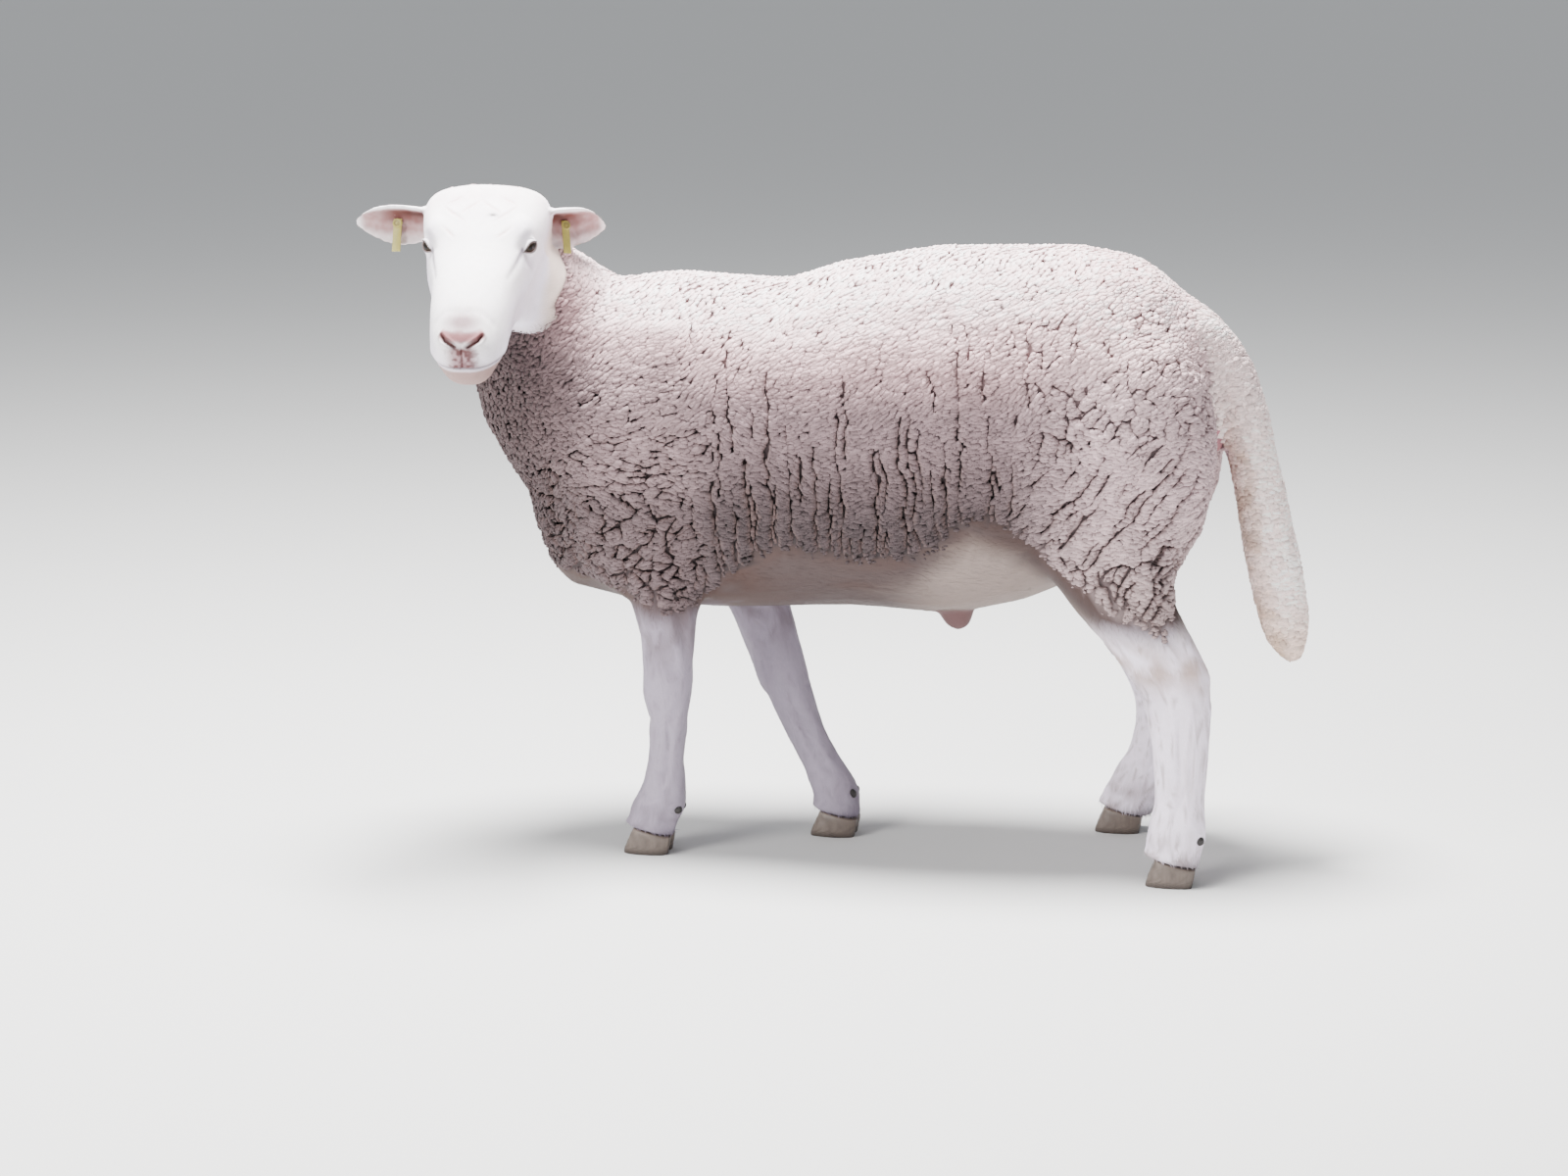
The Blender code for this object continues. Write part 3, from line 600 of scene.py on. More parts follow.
def leg_relief(points, parts):
    """Bone and sinew under the skin of the legs, and the swelling round each dewclaw."""
    push = np.zeros(len(points))
    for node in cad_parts:
        if "dewclaw" in node:
            away = np.linalg.norm(points - np.array(middle(node)), axis=1)
            push += DEWCLAW_RISE * bell(away, 0.0110)
    for name in LEGS:
        fore = name in FORELEGS
        chosen = is_part(parts, name) & (points[:, 2] < 0.32)
        x, y, z = points[chosen].T
        # The leg's middle line at each height, from the skin itself.
        bins = np.clip((z / LEG_SLICE).astype(int), 0, LEG_BINS - 1)
        count = np.maximum(np.bincount(bins, minlength=LEG_BINS), 1)
        dx, dy = (along - (np.bincount(bins, along, minlength=LEG_BINS) / count)[bins] for along in (x, y))
        reach = np.maximum(np.hypot(dx, dy), 1e-6)
        ahead, aside = -dx / reach, np.abs(dy) / reach
        shank = ramp(z, 0.075, 0.10) * (1 - ramp(z, 0.16 if fore else 0.20, 0.19 if fore else 0.24))
        here = -SINEW_DEPTH * (bell(ahead + 0.25, 0.16) * aside * shank)
        if fore:
            here += KNEE_RISE * bell(z - 0.205, 0.020) * ramp(ahead, 0.2, 0.8)
            here -= KNEE_FOLD * bell(z - 0.176, 0.006) * ramp(ahead, 0.2, 0.8)
        else:
            here += HOCK_RISE * bell(z - 0.262, 0.014) * ramp(-ahead, 0.5, 0.9)
            here -= HOCK_FOLDS * np.cos(z / 0.0016) * bell(z - 0.238, 0.012) * ramp(ahead, 0.4, 0.8)
        here += FETLOCK_RISE * bell(z - 0.072, 0.014) * aside
        here -= PASTERN_DIP * bell(z - 0.048, 0.006) * ramp(ahead, 0.1, 0.7)
        push[chosen] += here
    return push


def shape_skin():
    q = in_head(places(skin.data))
    eyes_near = np.linalg.norm(folded(q) - np.array(EYE_IN_HEAD), axis=1) < 0.019
    muzzle = (q[:, 0] > 0.212) & (np.abs(q[:, 1]) < 0.07) & (q[:, 2] > -0.085)
    finer(skin.data, eyes_near | muzzle)
    points = places(skin.data)
    skin.data = soften(skin.data, face_share(points, part_of(points)) > 0.5, 3)
    f = folded(in_head(places(skin.data)))
    eyes_near = np.linalg.norm(f - np.array(EYE_IN_HEAD), axis=1) < 0.0165
    slit = from_line(f, NOSTRIL)[0] < 0.0045
    finer(skin.data, eyes_near | slit)

    outline = places(skin.data)
    normals = outward(skin.data)
    parts = part_of(outline)
    depth = coat_depth(outline, normals, parts) + SKIN_MEET
    inner = outline - normals * depth[:, None]
    q = in_head(inner)
    head = face_share(outline, parts) * ~is_part(parts, *EARS)
    # The lower jaw is narrower than the upper lip.
    under = mouth_level(q[:, 0]) - q[:, 2]
    q[:, 1] *= 1 - 0.13 * head * ramp(under, -0.012, 0.008) * ramp(q[:, 0], 0.170, 0.215)
    inner = from_head(q)
    push = head_relief(q) * head + ear_relief(inner, normals, parts) + leg_relief(inner, parts)
    push = push + 0.0006 * waves(inner, 0.016, 8) * (1 - head)
    inner, eye_gap = shape_eyes(inner + normals * push[:, None])
    skin.data.vertices.foreach_set("co", inner.ravel())
    skin.data.update()
    return outline, normals, parts, eye_gap


coat_outline, coat_normals, skin_parts, eye_gap = shape_skin()
skin.data.shade_smooth()


# The hide's colours: white hair on the face and legs, pink skin in the ears and round the nose, tan belly,
# and under the wool the wool's own colours darkened as painted shade, most of all low down.
def paint(red, green, blue):
    """A colour in linear light from its screen values, 0 to 255."""
    c = np.array((red, green, blue)) / 255.0
    return np.where(c <= 0.04045, c / 12.92, ((c + 0.055) / 1.055) ** 2.4)


def laid(base, colour, share):
    return base + (colour - base) * np.clip(share, 0, 1)[:, None]


def coated(colour, points, *coats):
    """A colour at each point, with each (colour, share) laid over the last."""
    tint = np.tile(colour, (len(points), 1))
    for coat, share in coats:
        tint = laid(tint, coat, share)
    return tint


FACE_WHITE = paint(252, 247, 249)
CHEEK_GREY_AND_SHADE = paint(242, 234, 250)
JOWL_CREAM = paint(226, 208, 198)
NOSE_GREY = paint(160, 138, 142)
NOSE_PINK = paint(132, 80, 82)
LIP_BROWN = paint(76, 34, 33)
MOUTH_DARK = paint(84, 52, 50)
NOSTRIL_DARK = paint(84, 48, 46)
CHIN_TAN = paint(140, 106, 95)
MARK_DARK = paint(52, 42, 42)
TEAR_GREY = paint(116, 104, 120)
SOCKET_SHADOW_GREY = paint(176, 166, 178)
SOCKET_SHADOW_BLUE = paint(184, 174, 196)
EYE_RIM = paint(52, 38, 34)
CREASE_PINK = paint(206, 164, 164)
EAR_PINK = paint(142, 88, 86)
EAR_HOLLOW_RED_AND_SHADE = paint(104, 56, 50)
EAR_RIM_SHADOW = paint(62, 32, 27)
LEG_WHITE = paint(242, 231, 246)
LEG_SPECK = paint(138, 120, 116)
LEG_PAINTED_SHADE = paint(124, 114, 130)
HOCK_TAN = paint(150, 120, 95)
BELLY_TAN = paint(73, 61, 60)
BELLY_DARK_AND_SHADE = paint(70, 51, 46)
BELLY_PAINTED_HIGHLIGHT = paint(196, 178, 168)
BACK_WOOL_AND_LIGHT = paint(255, 228, 229)
UPPER_WOOL = paint(224, 182, 184)
FLANK_WOOL = paint(142, 120, 123)
LOWER_WOOL_STAIN_AND_SHADE = paint(75, 64, 66)
SHOULDER_WOOL = paint(151, 128, 130)
NECK_WOOL_AND_SHADE = paint(83, 68, 69)
RUMP_WOOL = paint(254, 218, 218)
THIGH_WOOL = paint(196, 170, 173)
HOCK_WOOL = paint(166, 146, 145)
TAIL_WOOL = paint(255, 232, 228)
TAIL_STREAK = paint(176, 146, 126)
TAIL_END = paint(206, 176, 152)
PINK_SKIN = paint(186, 126, 138)
SHEATH_SKIN = paint(104, 78, 78)
SCROTUM_SKIN = paint(196, 168, 158)
DUNG_STAIN = paint(92, 82, 62)

# Small marks of the face.
FOREHEAD_MARK = ((0.0516, 0.0174, 0.0), (0.0026, 0.0056, 0.02))  # its middle and its reach each way
LIP_SPOT = ((0.251, 0.0185, -0.0290), (0.010, 0.0022, 0.0018))
NOSE_BRIDGE = ((0.226, 0.0, -0.004), (0.016, 0.026, 0.014))
# Where painted shadow lies round each eye.
EYE_CORNER_SHADOW = ((0.098, 0.060, -0.030), (0.012, 0.006, 0.010))
EYE_SOCKET_SHADOW = ((0.076, 0.062, -0.006), (0.022, 0.014, 0.018))


def face_tint(points, normals, parts):
    q = in_head(points)
    x, y, z = q.T
    f = folded(q)
    fine = waves(q, 0.004, 21)
    broad = waves(q, 0.018, 22)
    # Lavender grey low on the sides of the face, partly painted shade.
    tint = coated(FACE_WHITE, points,
                  (CHEEK_GREY_AND_SHADE, ramp(-z, 0.010, 0.060) * 0.8 + 0.15 * broad),
                  (CREASE_PINK, 0.18 * ramp(x, 0.06, 0.0) * (1 + broad)),
                  *((CREASE_PINK, 0.6 * bell(gap, 0.0016) * deep) for gap, deep in creased(q)))
    ahead, level = zip(*JAW_EDGE[::-1])
    behind_jaw = from_line(q[:, [0, 2]], JAW_EDGE)[0] * np.sign(np.interp(z, level, ahead) - x)
    # Cream behind the jaw, partly painted shade.
    tint = laid(tint, JOWL_CREAM, ramp(behind_jaw, -0.004, 0.006) * ramp(-z, 0.040, 0.075))
    tear, along = from_line(f[:, :2], TEAR_LINE)
    # Around the nose: grey-beige hair behind, a bare pink pad over the nostrils, and a mottled upper lip.
    over = z - mouth_level(x)
    pad, along_pad = from_line(f, NOSE_PAD)
    pad = bell(pad, 0.0085 - 0.0020 * along_pad + 0.0012 * fine, 4)
    lip = bell(f[:, 1], 0.019, 4) * ramp(over, -0.002, 0.003) * (1 - ramp(z, -0.026, -0.018))
    lip = lip * ramp(x, 0.232, 0.242)
    groove = bell(y, 0.0012) * ramp(x, 0.238, 0.246) * ramp(over, -0.002, 0.002)
    groove = groove * (1 - ramp(z, -0.024, -0.020))
    slit, along_slit = from_line(f, NOSTRIL)
    for colour, share in (
            (TEAR_GREY, bell(tear, 0.0024) * (1 - 0.8 * along) * (z > -0.06)),
            # Painted shadow in the eye sockets.
            (SOCKET_SHADOW_GREY, 0.5 * lump(f, *EYE_CORNER_SHADOW)),
            (SOCKET_SHADOW_BLUE, 0.45 * lump(f, *EYE_SOCKET_SHADOW)),
            (NOSE_GREY, 1.1 * lump(f, *NOSE_BRIDGE)),
            (NOSE_PINK, 0.95 * pad),
            (NOSE_PINK, 0.80 * lip),
            (LIP_BROWN, lip * ramp(fine + 0.8 * broad + 0.5 * waves(q, 0.0024, 24), -0.5, 0.5) * 0.85),
            (LIP_BROWN, 0.8 * lump(f, *LIP_SPOT) * (y > 0)),
            (LIP_BROWN, 0.7 * groove),
            (CHIN_TAN, 0.9 * ramp(-over, 0.001, 0.007) * ramp(x, 0.19, 0.225)),
            (MOUTH_DARK, 0.9 * bell(over, 0.0017) * ramp(x, 0.175, 0.215)),
            (LIP_BROWN, 0.4 * bell(over - 0.003, 0.0030) * ramp(x, 0.20, 0.235)),
            (LIP_BROWN, 0.80 * bell(slit, 0.0048)),
            (NOSTRIL_DARK, bell(slit, 0.0015 + 0.0008 * np.sin(np.pi * along_slit))),
            # The dark mark on the forehead, and the rims of the lids.
            (MARK_DARK, lump(q, *FOREHEAD_MARK)),
            (EYE_RIM, 0.8 * ramp(eye_gap, -0.0024, -0.0006))):
        tint = laid(tint, colour, share)
    # The ears: pink inside, red-brown with painted shadow under the upper rim near the root, darkest just
    # under it, with white hair along the edges.
    out, up = ear_chart(points, parts)
    deep = ramp(up, 0.42, 0.62) * (1 - ramp(up, 0.80, 0.90)) * (1 - ramp(out, 0.45, 0.85))
    inner = coated(EAR_PINK, points,
                   (FACE_WHITE, 0.20 + 0.08 * fine + 0.45 * (1 - ramp(up, 0.05, 0.40))),
                   (EAR_HOLLOW_RED_AND_SHADE, deep * (0.75 + 0.25 * ramp(waves(q, 0.010, 23), -0.4, 0.5))),
                   (EAR_RIM_SHADOW, deep * bell(up - 0.74, 0.07) * (1 - ramp(out, 0.20, 0.60)) * 0.8),
                   (FACE_WHITE, np.maximum(ramp(up, 0.86, 0.93), 0.8 * ramp(out, 0.86, 0.98))))
    share = is_part(parts, *EARS) * ramp(normals @ np.array(head_level), 0.05, 0.45)
    return tint + (inner - tint) * share[:, None]


def leg_tint(points, normals, parts):
    z = points[:, 2]
    hind = is_part(parts, *HINDLEGS)
    fore = is_part(parts, *FORELEGS)
    inside = ramp(-normals[:, 0], 0.1, 0.7)
    far_side_shade = ramp(points[:, 1], MIDLINE, MIDLINE + 0.05)
    cloudy = waves(points, 0.026, 32) + 0.5 * waves(points, 0.009, 36)
    # Over the speckled white lies painted shade: the forelegs, and a little the far legs, darker and greyer
    # all over, the hind legs darker where they face forward at the hock, and the forelegs darker at the top
    # under the fleece.
    return coated(LEG_WHITE, points,
                  (LEG_SPECK, 0.50 * ramp(waves(points, 0.0036, 31), 0.15, 0.7)),
                  (LEG_SPECK, 0.15 * ramp(cloudy, 0.0, 0.9)),
                  (LEG_SPECK, 0.6 * (1 - ramp(z, 0.045, 0.085)) * ramp(waves(points, 0.012, 33), -0.3, 0.5)),
                  (BELLY_TAN, 0.7 * (1 - ramp(z, 0.026, 0.040))),
                  (HOCK_TAN, 0.75 * hind * bell(z - 0.275, 0.026) * ramp(waves(points, 0.02, 34), -0.6, 0.3)),
                  (BELLY_DARK_AND_SHADE, 0.35 * hind * inside * bell(z - 0.240, 0.020)),
                  (LEG_PAINTED_SHADE, 0.82 * fore + 0.04 * far_side_shade),
                  (BELLY_DARK_AND_SHADE, 0.60 * fore * ramp(z, 0.22, 0.31) * ramp(waves(points, 0.015, 35), -0.5, 0.6)))


def belly_tint(points):
    brisket = 1 - ramp(points[:, 0] - CHEST, 0.24, 0.32)
    below = over_hem(points)
    # Over mottled tan: a painted highlight on the pouch aft of the middle, and painted shade along the hem
    # under the fleece.
    return coated(BELLY_TAN, points,
                  (BELLY_DARK_AND_SHADE, 0.5 * ramp(waves(points, 0.03, 41), -0.1, 0.8)),
                  (BELLY_PAINTED_HIGHLIGHT, 0.35 * (ramp(aft(points), 0.42, 0.52) * (1 - ramp(below, -0.05, -0.01)))),
                  (BELLY_DARK_AND_SHADE, 0.7 * brisket * ramp(waves(points, 0.012, 42), -0.7, 0.5)),
                  (BELLY_DARK_AND_SHADE, 0.6 * ramp(below, -0.016, 0.004)))


def wool_tint(points, normals, parts):
    """Cream on the back and paler still where the wool faces up, as painted light; grey-brown low on the
    flank and neck, partly stain and partly painted shade; and tan at the hocks and the tail's end.
    """
    back = aft(points)
    height = points[:, 2]
    thigh = ramp(back, 0.56, 0.72)
    shoulder = 1 - ramp(back, 0.16, 0.26)
    neck = 1 - ramp(back, -0.04, 0.11)
    tail = is_part(parts, "tail") * 1.0
    streak = ramp(-normals[:, 0], -0.10, 0.50) * (0.45 + 0.55 * ramp(waves(points, 0.014, 71), -0.4, 0.5))
    # Over the wool's own colours lies painted light and shade: lighter up the body and most where it faces
    # up, darker on the neck and low on the flank.
    tint = coated(FLANK_WOOL, points,
                  (LOWER_WOOL_STAIN_AND_SHADE, 1 - ramp(height, 0.43, 0.59)),
                  (UPPER_WOOL, ramp(height, 0.57, 0.69)),
                  (BACK_WOOL_AND_LIGHT, ramp(normals[:, 2], 0.15, 0.80) * ramp(height, 0.58, 0.69)),
                  (THIGH_WOOL, thigh * (1 - ramp(height, 0.62, 0.72))),
                  (RUMP_WOOL, 0.8 * thigh * ramp(height, 0.58, 0.70)),
                  (HOCK_WOOL, thigh * (1 - ramp(height, 0.32, 0.50))),
                  (SHOULDER_WOOL, 0.8 * shoulder * ramp(height, 0.44, 0.50) * (1 - ramp(height, 0.60, 0.70))),
                  (SHOULDER_WOOL, 0.35 * shoulder * (1 - ramp(height, 0.42, 0.50))),
                  (NECK_WOOL_AND_SHADE, neck * (1 - 0.80 * ramp(height, 0.66, 0.78))),
                  (LOWER_WOOL_STAIN_AND_SHADE, 0.6 * neck * (1 - ramp(height, 0.40, 0.52))),
                  (TAIL_WOOL, tail * (1 - 0.5 * ramp(height, 0.52, 0.66))),
                  (TAIL_STREAK, 0.75 * tail * streak),
                  (TAIL_END, 0.6 * tail * (1 - ramp(height, 0.27, 0.36))))
    return tint * (1 + 0.05 * waves(points, 0.07, 72) + 0.05 * waves(points, 0.018, 73))[:, None]


def skin_tint():
    normals, parts = coat_normals, skin_parts
    points = places(skin.data)
    x, y, z = points.T
    wool = wool_share(coat_outline, normals, parts)
    legs = is_part(parts, *LEGS) * (1 - ramp(z, 0.290, 0.335))
    tint = belly_tint(points)
    tint += (leg_tint(points, normals, parts) - tint) * legs[:, None]
    under_tail = is_part(parts, "trunk", "tail", *HINDLEGS) * ramp(x - CHEST, 0.74, 0.79)
    under_tail = under_tail * ramp(z, 0.44, 0.50) * (1 - ramp(np.abs(y - MIDLINE), 0.04, 0.06))
    for colour, share in ((PINK_SKIN, under_tail),
                          (DUNG_STAIN, 0.6 * under_tail * (1 - ramp(z, 0.50, 0.56))),
                          (SHEATH_SKIN, is_part(parts, "sheath")),
                          (SCROTUM_SKIN, 0.8 * is_part(parts, "scrotum"))):
        tint = laid(tint, colour, share)
    # Under the wool the hide takes the wool's colours, darkened as painted shade for the gaps between the
    # locks, more so low down.
    under_wool = wool_tint(coat_outline, normals, parts) * (0.50 + 0.32 * ramp(z, 0.46, 0.64))[:, None]
    tint += (under_wool - tint) * ramp(wool, 0.15, 0.75)[:, None]
    head = face_share(coat_outline, parts)
    return tint + (face_tint(coat_outline, normals, parts) - tint) * head[:, None]


def keep_colours(mesh, colours):
    layer = mesh.color_attributes.new("tint", "FLOAT_COLOR", "POINT")
    layer.data.foreach_set("color", np.column_stack((colours, np.ones(len(colours)))).ravel())


keep_colours(skin.data, np.clip(skin_tint(), 0, 1))


def weathering():
    """A node group that mottles a colour and gives the height and gloss of a fine nap."""
    group = bpy.data.node_groups.new("weathering", "ShaderNodeTree")
    for label, kind, value in (("Colour", "NodeSocketColor", None), ("Mottle Size", "NodeSocketFloat", 0.01),
                               ("Mottle", "NodeSocketFloat", 0.1), ("Nap Size", "NodeSocketFloat", 0.001),
                               ("Roughness", "NodeSocketFloat", 0.8)):
        socket = group.interface.new_socket(label, in_out="INPUT", socket_type=kind)
        if value is not None:
            socket.default_value = value
    for label, kind in (("Colour", "NodeSocketColor"), ("Roughness", "NodeSocketFloat"),
                        ("Height", "NodeSocketFloat")):
        group.interface.new_socket(label, in_out="OUTPUT", socket_type=kind)
    nodes, link = group.nodes, group.links.new
    given = nodes.new("NodeGroupInput")
    made = nodes.new("NodeGroupOutput")
    place = nodes.new("ShaderNodeTexCoord")

    def step(operation, *values):
        node = nodes.new("ShaderNodeMath")
        node.operation = operation
        for socket, value in zip(node.inputs, values):
            if isinstance(value, float):
                socket.default_value = value
            else:
                link(value, socket)
        return node.outputs[0]

    def noise(size, detail):
        scale = step("DIVIDE", 1.0, given.outputs[size])
        texture = nodes.new("ShaderNodeTexNoise")
        texture.inputs["Detail"].default_value = detail
        link(place.outputs["Object"], texture.inputs["Vector"])
        link(scale, texture.inputs["Scale"])
        return texture.outputs["Fac"]

    mottled = noise("Mottle Size", 4.0)
    nap = noise("Nap Size", 2.0)
    centred = step("SUBTRACT", mottled, 0.5)
    gain = step("MULTIPLY_ADD", centred, step("MULTIPLY", given.outputs["Mottle"], 2.0), 1.0)
    gain = step("MULTIPLY_ADD", step("SUBTRACT", nap, 0.5), given.outputs["Mottle"], gain)
    bright = nodes.new("ShaderNodeVectorMath")
    bright.operation = "SCALE"
    link(given.outputs["Colour"], bright.inputs[0])
    link(gain, bright.inputs["Scale"])
    link(bright.outputs["Vector"], made.inputs["Colour"])
    link(step("MULTIPLY_ADD", centred, 0.2, given.outputs["Roughness"]), made.inputs["Roughness"])
    link(nap, made.inputs["Height"])
    return group


WEATHERING = weathering()


def finish(name, mottle_size, mottle, nap_size, nap_height, roughness, **plain):
    """A material whose colour is the mesh's tint, mottled, with a fine nap."""
    material = bpy.data.materials.new(name)
    material.use_nodes = True
    nodes, link = material.node_tree.nodes, material.node_tree.links.new
    shader = nodes["Principled BSDF"]
    worn = nodes.new("ShaderNodeGroup")
    worn.node_tree = WEATHERING
    tint = nodes.new("ShaderNodeAttribute")
    tint.attribute_name = "tint"
    for label, value in (("Mottle Size", mottle_size), ("Mottle", mottle), ("Nap Size", nap_size),
                         ("Roughness", roughness)):
        worn.inputs[label].default_value = value
    bump = nodes.new("ShaderNodeBump")
    bump.inputs["Distance"].default_value = nap_height
    link(tint.outputs["Color"], worn.inputs["Colour"])
    link(worn.outputs["Colour"], shader.inputs["Base Color"])
    link(worn.outputs["Roughness"], shader.inputs["Roughness"])
    link(worn.outputs["Height"], bump.inputs["Height"])
    link(bump.outputs["Normal"], shader.inputs["Normal"])
    for label, value in plain.items():
        shader.inputs[label.replace("_", " ")].default_value = value
    return material


def clad(piece, material):
    piece.data.materials.clear()
    piece.data.materials.append(material)


clad(skin, finish("hide", 0.009, 0.10, 0.0011, 0.0004, 0.72, Sheen_Weight=0.04, Specular_IOR_Level=0.25))
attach(skin, "root")
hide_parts(*FLESH)


# ---------------------------------------------------------------- eyes
# Two glass eyes as a taxidermist sets them: amber-brown, with a long level pupil and a wet clear front.
# Each sits behind dark lid rims with a few short pale lashes.

IRIS_AMBER = paint(60, 46, 28)
IRIS_BROWN = paint(26, 18, 12)
IRIS_RING = paint(26, 16, 12)
EYE_WHITE = paint(120, 92, 84)
PUPIL_BLACK = paint(8, 8, 14)
RIM_GREY = paint(150, 126, 122)
IRIS_REACH = 0.66  # radians from the middle of the eye
PUPIL_HALF = (0.0046, 0.0019)
CORNEA_RISE = 0.0009
EYE_SLACK = 0.0006  # the glass is this much smaller than its socket
EYE_RINGS = 44
EYE_SIDES = 72
RIM_RADIUS = 0.00105
RIM_SIDES = 8
RIM_STEPS = 40
LASHES = 12
LASH_LONG = 0.0048
LASH_DROOP = 0.0022
LASH_THICK = 0.00028
LASH_GREY = paint(196, 188, 188)


def grid_faces(rings, sides):
    """Square faces between rings of points, all the way round."""
    faces = []
    for k in range(0, (rings - 1) * sides, sides):
        for j in range(sides):
            after = (j + 1) % sides
            faces.append([k + j, k + after, k + sides + after, k + sides + j])
    return faces


def capped_faces(rings, sides):
    """The faces of a closed form: a pole, rings of points all the way round, and a pole."""
    last = rings * sides + 1
    steps = [(j, (j + 1) % sides) for j in range(sides)]
    return ([[1 + corner for corner in face] for face in grid_faces(rings, sides)]
            + [[0, 1 + j, 1 + after] for j, after in steps]
            + [[last, last - sides + after, last - sides + j] for j, after in steps])


def joined(name, pieces):
    """One mesh from several sets of points, faces and colours."""
    points = []
    faces = []
    colours = []
    for some_points, some_faces, some_colours in pieces:
        faces += [[corner + len(points) for corner in face] for face in some_faces]
        points += [tuple(place) for place in some_points]
        colours += [tuple(colour) for colour in some_colours]
    mesh = bpy.data.meshes.new(name)
    mesh.from_pydata(points, [], faces)
    form = bmesh.new()
    form.from_mesh(mesh)
    bmesh.ops.recalc_face_normals(form, faces=form.faces)
    form.to_mesh(mesh)
    form.free()
    keep_colours(mesh, np.array(colours))
    mesh.shade_smooth()
    return added(name, mesh)


def eyeball(side):
    centre, out, front, over = eye_axes(side)
    turn = np.linspace(0, 2 * np.pi, EYE_SIDES, endpoint=False)
    tilt = np.pi * (np.arange(1, EYE_RINGS + 1) / (EYE_RINGS + 1)) ** 1.5
    angle = np.concatenate(((0.0,), np.repeat(tilt, EYE_SIDES), (np.pi,)))
    round_it = np.concatenate(((0.0,), np.tile(turn, EYE_RINGS), (0.0,)))
    reach = EYE_RADIUS - EYE_SLACK + CORNEA_RISE * (1 - ramp(angle, 0.15, 0.75))
    ahead = reach * np.sin(angle) * np.cos(round_it)
    up = reach * np.sin(angle) * np.sin(round_it)
    points = centre + np.outer(ahead, front) + np.outer(up, over) + np.outer(reach * np.cos(angle), out)
    fibres = np.sin(round_it * 31 + 3 * np.sin(round_it * 7)) * np.sin(angle * 40)
    slot = (np.abs(ahead) / PUPIL_HALF[0]) ** 4 + (np.abs(up) / PUPIL_HALF[1]) ** 4
    tint = coated(IRIS_AMBER, points,
                  # The iris is darker towards the top: painted shadow of the upper lid.
                  (IRIS_BROWN, 0.55 + 0.30 * fibres + 0.25 * ramp(up, -0.001, 0.003)),
                  (IRIS_RING, ramp(angle, IRIS_REACH - 0.10, IRIS_REACH)),
                  (EYE_WHITE, ramp(angle, IRIS_REACH + 0.06, IRIS_REACH + 0.22)),
                  (PUPIL_BLACK, (1 - ramp(slot, 0.7, 1.3)) * (angle < 1)))
    return from_head(points), capped_faces(EYE_RINGS, EYE_SIDES), tint


def lid_rim(side):
    centre, out, front, over = eye_axes(side)
    t = np.linspace(0, 2 * np.pi, RIM_STEPS, endpoint=False)
    u = LID_OPEN[0] * 1.02 * np.cos(t)
    bow = 1 - (u / (LID_OPEN[0] * 1.03)) ** 2
    v = np.where(np.sin(t) > 0, LID_OPEN[1], -LID_OPEN[2]) * np.maximum(bow, 0)
    aim = unit(np.outer(np.tan(u), front) + np.outer(np.tan(v), over) + out)
    path = centre + aim * (EYE_RADIUS + 0.0008)
    along = unit(np.roll(path, -1, axis=0) - np.roll(path, 1, axis=0))
    across = unit(np.cross(along, aim))
    girth = RIM_RADIUS * (0.70 + 0.55 * np.maximum(np.sin(t), 0) - 0.15 * np.maximum(-np.sin(t), 0))
    turn = np.linspace(0, 2 * np.pi, RIM_SIDES, endpoint=False)
    ring = np.cos(turn)[None, :, None] * across[:, None] + np.sin(turn)[None, :, None] * aim[:, None]
    points = (path[:, None] + ring * girth[:, None, None]).reshape(-1, 3)
    # The last ring joins the first, all round the eye.
    faces = [[corner % len(points) for corner in face] for face in grid_faces(RIM_STEPS + 1, RIM_SIDES)]
    below = np.repeat(ramp(-np.sin(t), 0.0, 0.6), RIM_SIDES)
    return from_head(points), faces, coated(EYE_RIM, points, (RIM_GREY, 0.7 * below))


def lashes(side):
    """Short pale hairs that stand out and down from the upper lid."""
    centre, out, front, over = eye_axes(side)
    made = []
    for k in range(LASHES):
        u = LID_OPEN[0] * (1.5 * (k + 0.5) / LASHES - 0.85)
        v = LID_OPEN[1] * (1 - (u / LID_OPEN[0]) ** 2) + 0.06
        aim = unit(math.tan(u) * front + math.tan(v) * over + out)
        root = centre + aim * (EYE_RADIUS + 0.0012)
        bend = unit(aim + 0.5 * over + 0.35 * math.sin(k * 2.4) * front)
        tip = root + bend * LASH_LONG - over * LASH_DROOP
        middle_way = root + aim * 0.0030 + over * 0.0006
        across = unit(np.cross(bend, over))
        ring = [across * LASH_THICK, over * LASH_THICK, -across * LASH_THICK]
        points = [root + step for step in ring] + [middle_way + 0.7 * step for step in ring] + [tip]
        faces = [[0, 1, 4, 3], [1, 2, 5, 4], [2, 0, 3, 5], [3, 4, 6], [4, 5, 6], [5, 3, 6], [0, 2, 1]]
        made.append((from_head(np.array(points)), faces, coated(LASH_GREY, points)))
    return made


for side, node in ((1, "eye_left"), (-1, "eye_right")):
    eye = joined("glass_" + node, [eyeball(side)])
    clad(eye, finish("eye_glass_" + node, 0.003, 0.25, 0.0004, 0.00001, 0.30, Coat_Weight=0.10,
                     Coat_Roughness=0.04, Specular_IOR_Level=0.15))
    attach(eye, "root")
    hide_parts(node)

lids = joined("lid_rims", [lid_rim(1), lid_rim(-1)])
clad(lids, finish("lid_skin", 0.002, 0.25, 0.0004, 0.0001, 0.35))
lash_piece = joined("lashes", lashes(1) + lashes(-1))
clad(lash_piece, finish("lash_hair", 0.002, 0.1, 0.0004, 0.00005, 0.6))
for piece in (lids, lash_piece):
    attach(piece, "root")


